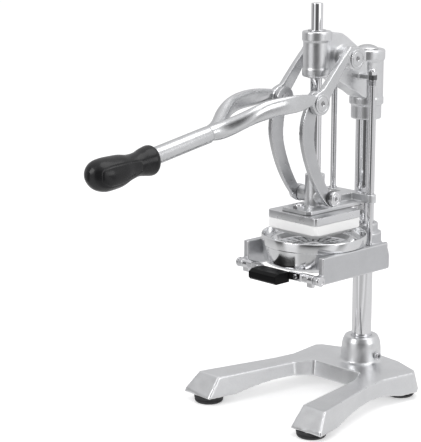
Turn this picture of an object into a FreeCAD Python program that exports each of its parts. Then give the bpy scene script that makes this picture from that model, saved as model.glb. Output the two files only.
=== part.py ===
"""Hand lever citrus juice press, in millimetres.

+Z is up, the user stands at -Y and the column is at +Y. The origin is on the
table, under the middle of the press's outline. The press is drawn pressed down.
"""
import FreeCAD, Part
import Sketcher
import itertools
import math
import os
import sys
from FreeCAD import Placement, Rotation, Vector

doc = FreeCAD.newDocument("CitrusPress")
sheet = doc.addObject("Spreadsheet::Sheet", "Sizes")
sheet_rows = itertools.count(1)


class Size:
    """A number together with the formula that gives it from the sheet's cells."""

    def __init__(self, value, text):
        self.value = float(value)
        self.text = text

    def __add__(self, other):
        return Size(self.value + number(other), f"({self.text} + {formula(other)})")

    def __sub__(self, other):
        return Size(self.value - number(other), f"({self.text} - {formula(other)})")

    def __mul__(self, other):
        return Size(self.value * number(other), f"({self.text} * {formula(other)})")

    def __truediv__(self, other):
        return Size(self.value / number(other), f"({self.text} / {formula(other)})")

    def __radd__(self, other):
        return Size(number(other) + self.value, f"({formula(other)} + {self.text})")

    def __rsub__(self, other):
        return Size(number(other) - self.value, f"({formula(other)} - {self.text})")

    def __rmul__(self, other):
        return Size(number(other) * self.value, f"({formula(other)} * {self.text})")

    def __neg__(self):
        return Size(-self.value, f"(0 - {self.text})")


def number(item):
    return item.value if isinstance(item, Size) else float(item)


def formula(item):
    return item.text if isinstance(item, Size) else repr(float(item))


def cell(alias, value, note):
    """Write one driving dimension into the sheet and return it."""
    row = next(sheet_rows)
    sheet.set(f"A{row}", note)
    sheet.set(f"B{row}", str(value))
    sheet.setAlias(f"B{row}", alias)
    return Size(value, f"Sizes.{alias}")


# Main places
COLUMN_Y = cell("column_y", 204.9, "column axis, from the origin")
PRESS_REACH = cell("press_reach", 91.6, "column axis to press axis")
PRESS_Y = COLUMN_Y - PRESS_REACH

# Base
BASE_BOTTOM = cell("base_bottom", 9, "underside of the base casting")
BASE_HEIGHT = cell("base_height", 25, "thickness of the legs")
BASE_DRAFT = cell("base_draft", 13, "draft of the side walls, degrees")
BASE_REAR = cell("base_rear", 38, "column axis to rear edge")
BASE_REACH = cell("base_reach", 204, "column axis to toes")
TOE_OUTER = cell("toe_outer", 116.5, "toe, outer edge from the middle")
TOE_INNER = cell("toe_inner", 69, "toe, inner edge from the middle")
BASE_WAIST = cell("base_waist", 82, "narrowest half width of the legs")
BASE_CORNER = cell("base_corner", 89.7, "half width at the rear corners")
CROOK = cell("crook", 46, "half width of the gap between the legs at the column")
SOCKET_R = cell("socket_radius", 25.6, "column socket, outside radius")
SOCKET_TOP = cell("socket_top", 67, "top of the column socket")
SOCKET_BEVEL = cell("socket_bevel", 7, "height of the socket's bevel")
SOCKET_FLANGE_R = cell("socket_flange_radius", 28, "flange round the foot of the socket")
FOOT_R = cell("foot_radius", 18.5, "rubber foot radius")
ARCH_R = cell("arch_radius", 340, "arch of the legs' underside")

# Column and guide rods
COLUMN_R = cell("column_radius", 12.5, "column radius")
COLUMN_BORE_R = cell("column_bore_radius", 10, "bore of the column tube")
COLUMN_TOP = cell("column_top", 432, "top of the column")
ROD_R = cell("rod_radius", 3.7, "guide rod radius")
ROD_X = cell("rod_spread", 30.8, "guide rod from the middle")
ROD_REACH = cell("rod_reach", 24.5, "column axis to guide rods")
ROD_Y = COLUMN_Y - ROD_REACH

# Head casting
SLEEVE_R = cell("sleeve_radius", 20.5, "sleeve on the column")
SLEEVE_RIM_R = cell("sleeve_rim_radius", 22.2, "top rim of the sleeve")
SLEEVE_BAND_R = cell("sleeve_band_radius", 21.2, "band near the sleeve's foot")
NECK_R = cell("neck_radius", 18.8, "neck under the sleeve")
NECK_BOTTOM = cell("neck_bottom", 346, "foot of the neck")
BAND_BOTTOM = cell("band_bottom", 364, "foot of the band")
BAND_TOP = cell("band_top", 372, "top of the band")
RIM_BOTTOM = cell("rim_bottom", 419, "foot of the top rim")
BOSS_R = cell("boss_radius", 16.2, "shaft boss radius")
BOSS_RIM_R = cell("boss_rim_radius", 17.6, "rims of the shaft boss")
BOSS_BOTTOM = cell("boss_bottom", 406.5, "foot of the shaft boss")
BOSS_LOW_RIM = cell("boss_low_rim", 417, "top of its lower rim")
BOSS_HIGH_RIM = cell("boss_high_rim", 449, "foot of its upper rim")
BOSS_TOP = cell("boss_top", 461, "top of the shaft boss")
WEB_HALF = cell("web_half", 13, "half thickness of the web")
LUG_BOTTOM = cell("lug_bottom", 399, "underside of the rod lugs")
LUG_TOP = cell("lug_top", 405, "top of the rod lugs")
LUG_R = cell("lug_radius", 5, "round end of a rod lug")
BUSH_R = cell("bush_radius", 10, "outside radius of the shaft bushes")
FIT = cell("fit", 0.05, "radial clearance of a running fit")

# Linkage
PIVOT_A_Y = COLUMN_Y - cell("pivot_a_reach", 60.4, "column axis to lever pivot")
PIVOT_A_Z = cell("pivot_a_height", 428.2, "lever pivot height")
PIVOT_B_Y = COLUMN_Y - cell("pivot_b_reach", 120.7, "column axis to link's upper pivot")
PIVOT_B_Z = cell("pivot_b_height", 380.7, "link's upper pivot height")
PIVOT_C_Z = cell("pivot_c_height", 261.7, "link's lower pivot height")
CROSS_BOSS_R = cell("cross_boss_radius", 14, "cross boss of the lever pivot")
CROSS_BOSS_HALF = cell("cross_boss_half", 28.6, "half length of that boss")
EYE_R = cell("eye_radius", 14.2, "lever eyes")
EYE_IN = cell("eye_inner", 29, "inner face of the lever eyes")
EYE_OUT = cell("eye_outer", 37, "outer face of the lever eyes")
CAP_THICK = cell("cap_thickness", 1.4, "pivot cap thickness")
HUB_THICK = cell("hub_thickness", 8.5, "round nut on the left end of the lever pivot")
CAP_R = cell("cap_radius", 11.5, "pivot cap radius")
PIN_R = cell("pin_radius", 6, "pivot pin radius")
LINK_IN = cell("link_inner", 22.2, "inner face of the bow links")
LINK_OUT = cell("link_outer", 28.4, "outer face of the bow links")
LINK_EYE_R = cell("link_eye_radius", 13.9, "upper eye of a bow link")
LINK_FOOT_R = cell("link_foot_radius", 10.5, "lower eye of a bow link")
YOKE_HALF = cell("yoke_half", 21.8, "half length of the press head's cross boss")

# Press head
SHAFT_R = cell("shaft_radius", 7.05, "press shaft radius")
SHAFT_TOP = cell("shaft_top", 494, "top of the press shaft")
PLATE_HALF = cell("plate_half", 40.6, "half side of the square plate")
PLATE_BOTTOM = cell("plate_bottom", 234.6, "underside of the square plate")
PLATE_THICK = cell("plate_thickness", 9.6, "thickness of the square plate")
PRESSER_THICK = cell("presser_thickness", 25, "white presser, middle thickness")
DOME_R = cell("dome_radius", 114, "radius of the presser's domed face")
POST_R = cell("post_radius", 12, "post of the press head")
POST_TOP = cell("post_top", 288, "top of the post")
FLANGE_HALF = cell("flange_half", 24, "half width of the head's foot plate")
FLANGE_LIP = cell("flange_lip", 5, "thickness of the foot plate")
BAR_HALF = cell("bar_half", 40, "half length of the guide crossbar")
BAR_HIGH = cell("bar_high", 10.2, "height of the guide crossbar")
BAR_BOTTOM = cell("bar_bottom", 247.4, "underside of the guide crossbar")

# Bracket and bowl
ARM_OUT = cell("arm_outer", 66.3, "outer face of the bracket arms")
ARM_THICK = cell("arm_thickness", 8, "thickness of the arms")
ARM_FRONT = cell("arm_front", 146.7, "column axis to front of the arms")
ARM_REAR = cell("arm_rear", 26.6, "column axis to rear of the arms")
ARM_BOTTOM = cell("arm_bottom", 171, "underside of the arms")
ARM_TOP = cell("arm_top", 203, "top of the arms")
CLAMP_R = cell("clamp_radius", 22.4, "clamp boss on the column")
CLAMP_NECK_R = cell("clamp_neck_radius", 17.9, "neck above the clamp boss")
CLAMP_BOTTOM = cell("clamp_bottom", 156, "foot of the clamp boss")
CLAMP_TOP = cell("clamp_top", 202, "top of the clamp boss")
CLAMP_NECK_TOP = cell("clamp_neck_top", 214, "top of the neck")
BOWL_R = cell("bowl_radius", 64.5, "bowl, outside radius of the rim band")
BOWL_WALL = cell("bowl_wall", 1.8, "bowl wall")
BOWL_TOP = cell("bowl_top", 215, "bowl rim height")
BOWL_BODY_R = cell("bowl_body_radius", 63.2, "bowl, outside radius under the rim band")
BOWL_FOOT_R = cell("bowl_foot_radius", 61, "bowl, outside radius at its lower corner")
BOWL_FOOT = cell("bowl_foot", 183, "height of the bowl's lower corner")
DISH_R = cell("dish_radius", 49, "sunk middle of the strainer")
SPOUT_R = cell("spout_radius", 11, "spout radius")
SPOUT_BOTTOM = cell("spout_bottom", 166, "spout mouth height")

# Front latch
HINGE_REACH = cell("hinge_reach", 152, "column axis to latch hinge")
HINGE_Z = cell("hinge_height", 176.5, "latch hinge height")
HINGE_Y = COLUMN_Y - HINGE_REACH
KNUCKLE_R = cell("knuckle_radius", 5.5, "latch hinge knuckles")
GRIP_BLOCK_HALF = cell("grip_block_half", 22, "half width of the latch grip")

doc.recompute()

ALONG = {
    "x": Rotation(Vector(0, 1, 0), 90),
    "y": Rotation(Vector(1, 0, 0), -90),
    "z": Rotation(),
}
made = []


def bind(item, **rules):
    for name, rule in rules.items():
        item.setExpression(name, formula(rule))


def put(item, x, y, z, along="z"):
    """Place an item by formulas, with its own Z axis along x, y or z."""
    item.Placement = Placement(Vector(number(x), number(y), number(z)), ALONG[along])
    item.setExpression("Placement.Base.x", formula(x))
    item.setExpression("Placement.Base.y", formula(y))
    item.setExpression("Placement.Base.z", formula(z))
    return item


def block(name, low, high):
    """A box between two corners."""
    item = doc.addObject("Part::Box", name)
    bind(item, Length=high[0] - low[0], Width=high[1] - low[1], Height=high[2] - low[2])
    return put(item, *low)


def bar(name, radius, start, length, along="z"):
    """A cylinder from a start point along an axis."""
    item = doc.addObject("Part::Cylinder", name)
    bind(item, Radius=radius, Height=length)
    return put(item, *start, along)


def join(name, items):
    item = doc.addObject("Part::MultiFuse", name)
    item.Shapes = items
    item.Refine = True
    return item


def carve(name, base, tools):
    """A solid with one or more tools taken out of it."""
    tool = tools[0] if len(tools) == 1 else join(name + "_tools", tools)
    item = doc.addObject("Part::Cut", name)
    item.Base = base
    item.Tool = tool
    item.Refine = True
    return item


def keep(name, item):
    """Name a finished sub-part."""
    item.Label = name
    made.append(item)
    return item


def outline(body, plane, points):
    """A closed sketch of lines and arcs, each corner held by formulas.

    A corner is (a, b) or (a, b, radius): with a radius, the side that starts
    there is an arc, counter-clockwise where the radius is positive.
    """
    sketch = body.newObject("Sketcher::SketchObject", body.Name + "_outline")
    support = next(f for f in body.Origin.OriginFeatures if f.Role == plane)
    sketch.AttachmentSupport = (support, [""])
    sketch.MapMode = "FlatFace"
    spots = [Vector(number(p[0]), number(p[1]), 0) for p in points]
    ends = []
    for index, point in enumerate(points):
        start, stop = spots[index], spots[(index + 1) % len(spots)]
        if len(point) == 2:
            side = sketch.addGeometry(Part.LineSegment(start, stop), False)
            ends.append((side, 1, 2))
            continue
        radius = number(point[2])
        half = (stop - start) * 0.5
        left = Vector(-half.y, half.x, 0).normalize() * (1 if radius > 0 else -1)
        centre = start + half + left * math.sqrt(radius ** 2 - half.Length ** 2)
        turn = [math.atan2(p.y - centre.y, p.x - centre.x) for p in (start, stop)]
        ring = Part.Circle(centre, Vector(0, 0, 1), abs(radius))
        if radius > 0:
            side = sketch.addGeometry(Part.ArcOfCircle(ring, turn[0], turn[1]), False)
            ends.append((side, 1, 2))
        else:
            side = sketch.addGeometry(Part.ArcOfCircle(ring, turn[1], turn[0]), False)
            ends.append((side, 2, 1))
    for index, (side, first, last) in enumerate(ends):
        after = ends[(index + 1) % len(ends)]
        sketch.addConstraint(Sketcher.Constraint("Coincident", side, last, after[0], after[1]))
    for index, point in enumerate(points):
        side, first, last = ends[index]
        for kind, axis, rule in (("DistanceX", "a", point[0]), ("DistanceY", "b", point[1])):
            rank = sketch.addConstraint(Sketcher.Constraint(kind, side, first, number(rule)))
            sketch.renameConstraint(rank, f"{axis}{index}")
            sketch.setExpression(f"Constraints.{axis}{index}", formula(rule))
        if len(point) == 3:
            radius = point[2] if number(point[2]) > 0 else -point[2]
            rank = sketch.addConstraint(Sketcher.Constraint("Radius", side, number(radius)))
            sketch.renameConstraint(rank, f"r{index}")
            sketch.setExpression(f"Constraints.r{index}", formula(radius))
    return sketch


def new_body(name):
    body = doc.addObject("PartDesign::Body", name)
    doc.recompute()
    return body


def slab(name, plane, points, thickness, both_ways=False, draft=None):
    """A body padded from an outline."""
    body = new_body(name)
    sketch = outline(body, plane, points)
    pad = body.newObject("PartDesign::Pad", name + "_pad")
    pad.Profile = sketch
    pad.Midplane = both_ways
    bind(pad, Length=thickness)
    if draft is not None:
        bind(pad, TaperAngle=-draft)
    doc.recompute()
    return body


def turned(name, points):
    """A body turned about its own Z axis from a half outline of (radius, height)."""
    body = new_body(name)
    sketch = outline(body, "XZ_Plane", points)
    turn = body.newObject("PartDesign::Revolution", name + "_turn")
    turn.Profile = sketch
    turn.ReferenceAxis = (sketch, ["V_Axis"])
    turn.Angle = 360
    doc.recompute()
    return body


def limb(stations):
    """A solid through oval sections: (x, y, z, half width, half height)."""
    spots = [Vector(*station[:3]) for station in stations]
    rings = []
    for index, station in enumerate(stations):
        before, after = spots[max(index - 1, 0)], spots[min(index + 1, len(spots) - 1)]
        way = (after - before).normalize()
        side = Vector(0, 0, 1).cross(way).normalize()
        up = way.cross(side).normalize()
        spot = spots[index]
        ring = Part.Ellipse(spot + up * station[4], spot + side * station[3], spot)
        rings.append(Part.Wire([ring.toShape()]))
    return Part.makeLoft(rings, True, False)


def free_form(name, shape):
    """A cast or moulded piece whose skin no primitive or sketch gives."""
    item = doc.addObject("Part::Feature", name)
    item.Shape = shape
    return item


SIDES = (("left", -1), ("right", 1))

# Base casting: two splayed legs on a cross piece, with the column socket
half_plan = [
    (TOE_OUTER, COLUMN_Y - BASE_REACH + 3),
    (TOE_OUTER - 7, COLUMN_Y - 169),
    (BASE_WAIST + 4, COLUMN_Y - 75),
    (BASE_WAIST, COLUMN_Y - 45),
    (BASE_CORNER - 2, COLUMN_Y - 6),
    (BASE_CORNER, COLUMN_Y + 5),
    (BASE_CORNER - 8, COLUMN_Y + 17),
    (BASE_WAIST / 2, COLUMN_Y + BASE_REAR - 5),
]
half_gap = [
    (-CROOK + 12, COLUMN_Y - 52),
    (-CROOK, COLUMN_Y - 72),
    (-TOE_INNER, COLUMN_Y - BASE_REACH),
]
plan = half_plan + [(Size(0, "0"), COLUMN_Y + BASE_REAR)]
plan += [(-x, y) for x, y in reversed(half_plan)]
plan += [(x, y) for x, y in reversed(half_gap)]
plan += [(-x, y) for x, y in half_gap]
legs = slab("base_legs", "XY_Plane", plan, BASE_HEIGHT, draft=BASE_DRAFT)
put(legs, 0, 0, BASE_BOTTOM)
SOCKET_FOOT = BASE_BOTTOM + 3
socket = turned("base_socket", [
    (0, SOCKET_FOOT),
    (SOCKET_FLANGE_R, SOCKET_FOOT),
    (SOCKET_FLANGE_R, BASE_BOTTOM + BASE_HEIGHT - 1),
    (SOCKET_R, BASE_BOTTOM + BASE_HEIGHT + 2),
    (SOCKET_R - 0.8, SOCKET_TOP - SOCKET_BEVEL - 6),
    (SOCKET_R - 1.8, SOCKET_TOP - SOCKET_BEVEL),
    (SOCKET_R - 5, SOCKET_TOP),
    (0, SOCKET_TOP),
])
put(socket, 0, COLUMN_Y, 0)
TOE_Y = COLUMN_Y - BASE_REACH
toe_slope = slab("toe_slope", "YZ_Plane", [
    (TOE_Y - 20, BASE_BOTTOM - 1), (TOE_Y, BASE_BOTTOM - 1), (TOE_Y + 3, BASE_BOTTOM + 4),
    (TOE_Y + 21, BASE_BOTTOM + BASE_HEIGHT + 1), (TOE_Y - 20, BASE_BOTTOM + BASE_HEIGHT + 1),
], TOE_OUTER * 3, both_ways=True)
leg_arch = slab("leg_arch", "YZ_Plane", [
    (TOE_Y + 40, BASE_BOTTOM - 1), (TOE_Y + 188, BASE_BOTTOM - 1, ARCH_R),
], TOE_OUTER * 3, both_ways=True)
column_hole = bar("column_hole", COLUMN_R, (0, COLUMN_Y, SOCKET_FOOT + 4), 480)
screw_hole = bar("base_screw_hole", 3, (COLUMN_R - 1, COLUMN_Y, 44), 30, "x")
base = carve("base", join("base_blank", [legs, socket]), [toe_slope, leg_arch, column_hole, screw_hole])
keep("base_casting", base)

# Rubber feet, pushed up against the underside
foot_spots = [(sign * x, COLUMN_Y - y) for sign in (-1, 1) for x, y in ((87, 186), (61.5, -5))]
feet = []
for index, (x, y) in enumerate(foot_spots):
    foot = turned(f"foot_{index}", [
        (0, 0), (FOOT_R - 3, 0), (FOOT_R - 1, 1.2), (FOOT_R, BASE_BOTTOM - 1.5),
        (FOOT_R - 0.5, BASE_BOTTOM), (0, BASE_BOTTOM),
    ])
    feet.append(put(foot, x, y, 0))
group = doc.addObject("Part::Compound", "feet_group")
group.Links = feet
keep("rubber_feet", group)

# Column: chromed tube from the socket to the head
column = carve("column", bar("column_bar", COLUMN_R, (0, COLUMN_Y, SOCKET_FOOT + 4),
                             COLUMN_TOP - SOCKET_FOOT - 4),
               [bar("column_bore", COLUMN_BORE_R, (0, COLUMN_Y, 0), 480)])
keep("column_tube", column)


def cap_screw(name, spot, length, along, turn=1):
    """A cap screw with a hexagon socket; the head's face is at the spot."""
    head = bar(name + "_head", 4.6, spot, 4.5, along)
    shank = bar(name + "_shank", 3, spot, length, along)
    socket_hole = doc.addObject("Part::Prism", name + "_hex")
    socket_hole.Polygon = 6
    bind(socket_hole, Circumradius=2.4, Height=2.6)
    put(socket_hole, *spot, along)
    screw = carve(name, join(name + "_blank", [head, shank]), [socket_hole])
    return screw


# Base screw, from the right of the socket onto the column
base_screw = cap_screw("base_screw", (0, 0, 0), SOCKET_R + 4.5 - COLUMN_R - 0.3, "z")
base_screw.Placement = Placement(Vector(number(SOCKET_R) + 4.5, number(COLUMN_Y), 44),
                                 Rotation(Vector(0, 1, 0), -90))
base_screw.setExpression("Placement.Base.x", formula(SOCKET_R + 4.5))
base_screw.setExpression("Placement.Base.y", formula(COLUMN_Y))
keep("base_clamp_screw", base_screw)

# Bracket: clamp boss on the column, rear web and two arms that carry the bowl
clamp = turned("bracket_clamp", [
    (0, CLAMP_BOTTOM), (CLAMP_R, CLAMP_BOTTOM), (CLAMP_R, CLAMP_TOP),
    (CLAMP_NECK_R, CLAMP_TOP + 1.5), (CLAMP_NECK_R, CLAMP_NECK_TOP - 1),
    (CLAMP_NECK_R - 1, CLAMP_NECK_TOP), (0, CLAMP_NECK_TOP),
])
put(clamp, 0, COLUMN_Y, 0)
WEB_TOP = ARM_TOP - 14
web = slab("bracket_web", "XY_Plane", [
    (ARM_OUT - 1, COLUMN_Y - ARM_REAR), (ARM_OUT - 34, COLUMN_Y + 8),
    (CLAMP_R - 8, COLUMN_Y + CLAMP_R - 5), (-CLAMP_R + 8, COLUMN_Y + CLAMP_R - 5),
    (-ARM_OUT + 34, COLUMN_Y + 8), (-ARM_OUT + 1, COLUMN_Y - ARM_REAR),
    (-ARM_OUT + 1, COLUMN_Y - ARM_REAR - 14), (ARM_OUT - 1, COLUMN_Y - ARM_REAR - 14),
], WEB_TOP - ARM_BOTTOM)
put(web, 0, 0, ARM_BOTTOM)
bracket_parts = [clamp, web]
for label, sign in SIDES:
    low_x = ARM_OUT - ARM_THICK if sign > 0 else -ARM_OUT
    arm = slab(f"bracket_arm_{label}", "XY_Plane", [
        (low_x, COLUMN_Y - ARM_FRONT), (low_x + ARM_THICK, COLUMN_Y - ARM_FRONT),
        (low_x + ARM_THICK, COLUMN_Y - ARM_REAR - 6) + ((8,) if sign > 0 else ()),
        (low_x + (ARM_THICK - 6 if sign > 0 else ARM_THICK), COLUMN_Y - ARM_REAR),
        (low_x + (0 if sign > 0 else 6), COLUMN_Y - ARM_REAR) + ((8,) if sign < 0 else ()),
        (low_x, COLUMN_Y - ARM_REAR - 6),
    ], ARM_TOP - ARM_BOTTOM)
    bracket_parts.append(put(arm, 0, 0, ARM_BOTTOM))
    lug_base = block(f"lug_base_{label}", (low_x, HINGE_Y, HINGE_Z - KNUCKLE_R),
                     (low_x + ARM_THICK, COLUMN_Y - ARM_FRONT + 1, HINGE_Z + KNUCKLE_R))
    lug_round = bar(f"lug_round_{label}", KNUCKLE_R, (low_x, HINGE_Y, HINGE_Z), ARM_THICK, "x")
    bracket_parts += [lug_base, lug_round]
rod_holes = [bar(f"rod_seat_{label}", ROD_R, (sign * ROD_X, ROD_Y, ARM_BOTTOM + 4), 60)
             for label, sign in SIDES]
bracket_column_hole = bar("bracket_column_hole", COLUMN_R, (0, COLUMN_Y, 100), 200)
clamp_holes = [bar(f"clamp_hole_{z}", 3, (0, COLUMN_Y + COLUMN_R - 2, z), 30, "y")
               for z in (166, 192)]
latch_holes = [bar(f"latch_hole_{label}", 3, (sign * ARM_OUT - 15, HINGE_Y, HINGE_Z), 30, "x")
               for label, sign in SIDES]
bowl_pocket = bar("bowl_pocket", BOWL_BODY_R + 0.3, (0, PRESS_Y, BOWL_FOOT - 5), 60)
bracket = carve("bracket", join("bracket_blank", bracket_parts),
                rod_holes + [bracket_column_hole, bowl_pocket] + clamp_holes + latch_holes)
keep("bracket_casting", bracket)


def rear_screws(name, spots):
    """Cap screws that enter a boss from behind and press on the column."""
    screws = []
    for index, (reach, z) in enumerate(spots):
        screw = cap_screw(f"{name}_{index}", (0, 0, 0), reach + 4.5 - COLUMN_R - 0.3, "z")
        screw.Placement = Placement(Vector(0, number(COLUMN_Y + reach) + 4.5, z),
                                    Rotation(Vector(1, 0, 0), 90))
        screw.setExpression("Placement.Base.y", formula(COLUMN_Y + reach + 4.5))
        screws.append(screw)
    item = doc.addObject("Part::Compound", name + "_group")
    item.Links = screws
    return item


keep("bracket_clamp_screws", rear_screws("bracket_screw", [(CLAMP_R, 166), (CLAMP_R, 192)]))

# Head casting: sleeve on the column, web, shaft boss, cross boss and rod lugs
sleeve = turned("head_sleeve", [
    (0, NECK_BOTTOM), (NECK_R - 0.8, NECK_BOTTOM), (NECK_R, NECK_BOTTOM + 1),
    (NECK_R, BAND_BOTTOM), (SLEEVE_BAND_R, BAND_BOTTOM + 0.5), (SLEEVE_BAND_R, BAND_TOP),
    (SLEEVE_R, BAND_TOP + 1), (SLEEVE_R, RIM_BOTTOM - 1), (SLEEVE_RIM_R, RIM_BOTTOM + 1),
    (SLEEVE_RIM_R, COLUMN_TOP - 1.5), (SLEEVE_RIM_R - 1.5, COLUMN_TOP), (0, COLUMN_TOP),
])
put(sleeve, 0, COLUMN_Y, 0)
boss = turned("head_boss", [
    (0, BOSS_BOTTOM), (BOSS_RIM_R - 2, BOSS_BOTTOM), (BOSS_RIM_R - 0.6, BOSS_BOTTOM + 1.4),
    (BOSS_RIM_R - 0.6, BOSS_LOW_RIM - 1), (BOSS_R, BOSS_LOW_RIM), (BOSS_R, BOSS_HIGH_RIM),
    (BOSS_RIM_R, BOSS_HIGH_RIM + 1), (BOSS_RIM_R, BOSS_TOP - 1.2), (BOSS_RIM_R - 1.2, BOSS_TOP),
    (0, BOSS_TOP),
])
put(boss, 0, PRESS_Y, 0)
head_web = slab("head_web", "YZ_Plane", [
    (PRESS_Y, BOSS_TOP - 2), (PRESS_Y + 14, BOSS_TOP - 2), (PRESS_Y + 31, BOSS_TOP - 4),
    (PRESS_Y + 41, BOSS_TOP - 9.5), (PRESS_Y + 59, BOSS_TOP - 22), (COLUMN_Y - 14, COLUMN_TOP - 1),
    (COLUMN_Y, COLUMN_TOP - 1), (COLUMN_Y, BAND_TOP), (COLUMN_Y - 20, BAND_TOP + 3),
    (COLUMN_Y - 31, BAND_TOP + 10), (COLUMN_Y - 61, BAND_TOP + 25), (PRESS_Y + 15, BOSS_BOTTOM),
    (PRESS_Y, BOSS_BOTTOM + 6),
], WEB_HALF * 2, both_ways=True)
cross_boss = bar("cross_boss", CROSS_BOSS_R, (-CROSS_BOSS_HALF, PIVOT_A_Y, PIVOT_A_Z),
                 CROSS_BOSS_HALF * 2, "x")
lug_bar = block("rod_lug_bar", (-ROD_X, ROD_Y - LUG_R, LUG_BOTTOM), (ROD_X, ROD_Y + LUG_R, LUG_TOP))
lug_ends = [bar(f"rod_lug_{label}", LUG_R, (sign * ROD_X, ROD_Y, LUG_BOTTOM), LUG_TOP - LUG_BOTTOM)
            for label, sign in SIDES]
head_holes = [
    bar("head_column_hole", COLUMN_R, (0, COLUMN_Y, 300), COLUMN_TOP - 300),
    bar("bush_hole", BUSH_R - 1.5, (0, PRESS_Y, 380), 120),
    bar("pivot_a_hole", PIN_R + FIT, (-CROSS_BOSS_HALF - 5, PIVOT_A_Y, PIVOT_A_Z),
        CROSS_BOSS_HALF * 2 + 10, "x"),
    bar("head_clamp_hole_low", 3, (0, COLUMN_Y + COLUMN_R - 2, 384), 30, "y"),
    bar("head_clamp_hole_high", 3, (0, COLUMN_Y + COLUMN_R - 2, 408), 30, "y"),
] + [bar(f"rod_hole_{label}", ROD_R, (sign * ROD_X, ROD_Y, LUG_BOTTOM - 5), 20)
     for label, sign in SIDES]
head_blank = join("head_blank", [sleeve, boss, head_web, cross_boss, lug_bar] + lug_ends)
head = carve("head", head_blank, head_holes)
keep("head_casting", head)
keep("head_clamp_screws", rear_screws("head_screw", [(SLEEVE_R, 384), (SLEEVE_R, 408)]))

# Domed cap that closes the column's top
cap = turned("column_plug", [
    (0, COLUMN_TOP - 12), (COLUMN_BORE_R, COLUMN_TOP - 12), (COLUMN_BORE_R, COLUMN_TOP),
    (COLUMN_R + 1.5, COLUMN_TOP), (COLUMN_R + 1.5, COLUMN_TOP + 1.2, 24),
    (2, COLUMN_TOP + 5.5), (0, COLUMN_TOP + 5.5),
])
put(cap, 0, COLUMN_Y, 0)
keep("column_cap", cap)

# Bushes that guide the press shaft, one at each end of the boss
bushes = []
for label, foot_z, flange_z in (
    ("low", BOSS_BOTTOM, BOSS_BOTTOM - 1.4),
    ("high", BOSS_TOP - 18, BOSS_TOP),
):
    sleeve_part = bar(f"bush_{label}_sleeve", BUSH_R - 1.5, (0, PRESS_Y, foot_z), 18)
    flange_part = bar(f"bush_{label}_flange", BUSH_R + 1, (0, PRESS_Y, flange_z), 1.4)
    bore = bar(f"bush_{label}_bore", SHAFT_R + FIT, (0, PRESS_Y, 380), 120)
    blank = join(f"bush_{label}_blank", [sleeve_part, flange_part])
    bushes.append(carve(f"bush_{label}", blank, [bore]))
group = doc.addObject("Part::Compound", "bush_group")
group.Links = bushes
keep("shaft_bushes", group)

# Guide rods, from the bracket's web up to the lugs, with their nuts
ROD_FOOT = ARM_BOTTOM + 4
rods = [bar(f"guide_rod_{label}", ROD_R, (sign * ROD_X, ROD_Y, ROD_FOOT), LUG_TOP + 4 - ROD_FOOT)
        for label, sign in SIDES]
group = doc.addObject("Part::Compound", "rod_group")
group.Links = rods
keep("guide_rods", group)


def acorn_nut(name, spot, across, height, hole):
    """A domed hexagon nut, bored from below for its thread."""
    hexagon = doc.addObject("Part::Prism", name + "_hexagon")
    hexagon.Polygon = 6
    bind(hexagon, Circumradius=across / 1.732, Height=height * 0.55)
    put(hexagon, *spot)
    dome = turned(name + "_dome", [
        (0, 0), (across * 0.44, 0), (across * 0.44, height * 0.62),
        (across * 0.3, height * 0.9), (0, height),
    ])
    put(dome, *spot)
    bore = bar(name + "_bore", hole, (spot[0], spot[1], spot[2]), height * 0.6)
    return carve(name, join(name + "_blank", [hexagon, dome]), [bore])


nuts = [acorn_nut(f"rod_nut_{label}", (sign * ROD_X, ROD_Y, LUG_TOP), 9.5, 8.0, ROD_R)
        for label, sign in SIDES]
group = doc.addObject("Part::Compound", "rod_nut_group")
group.Links = nuts
keep("guide_rod_cap_nuts", group)


def ring(name, outer, inner, spot, thickness, along="z"):
    """A washer or collar."""
    disc = bar(name + "_disc", outer, spot, thickness, along)
    hole = bar(name + "_hole", inner, spot, thickness, along)
    return carve(name, disc, [hole])


collars = []
for label, sign in SIDES:
    washer = ring(f"rod_washer_{label}", 4.9, ROD_R, (sign * ROD_X, ROD_Y, LUG_BOTTOM - 1.6), 1.6)
    jam = ring(f"rod_jam_{label}", 4.4, ROD_R, (sign * ROD_X, ROD_Y, LUG_BOTTOM - 7.6), 6)
    collars.append(join(f"rod_collar_{label}", [washer, jam]))
group = doc.addObject("Part::Compound", "rod_collar_group")
group.Links = collars
keep("guide_rod_collars", group)

# Lever casting: handle tube, fork, eyes and the two short links to the head
handle_path = [(-368, 340.3), (-352, 343), (-320, 348.6), (-292, 353.6), (-270, 357.4)]
handle = limb([(0, number(COLUMN_Y) + y, z, 9.8, 10) for y, z in handle_path])
fork_path = [
    (0, -271.5, 359, 7.5, 8), (3.5, -257.5, 360, 8.5, 10), (11, -242.5, 365.5, 8.5, 10),
    (20.5, -226.5, 373.5, 8.5, 9.5), (28, -207, 380.5, 6.5, 10.5), (33.5, -183, 384, 5.5, 10.5),
    (35.5, -158.5, 385, 4.5, 10), (34, -138.5, 385.5, 4, 7.5), (33.5, -121.5, 384.5, 4, 6.5),
]
lever_shape = handle
A_SPOT = (number(PIVOT_A_Y), number(PIVOT_A_Z))
B_SPOT = (number(PIVOT_B_Y), number(PIVOT_B_Z))
strap_outline = [
    (B_SPOT, -4.5, 13.5), (B_SPOT, 2.5, 16), (B_SPOT, 25, 39.5), (A_SPOT, -11, 15),
    (A_SPOT, -2, 14), (A_SPOT, 0, 0), (A_SPOT, -12, 0), (A_SPOT, -17.5, -7),
    (B_SPOT, 31, 25), (B_SPOT, 19, 10), (B_SPOT, 12, 2), (B_SPOT, 0, 0),
]
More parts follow.
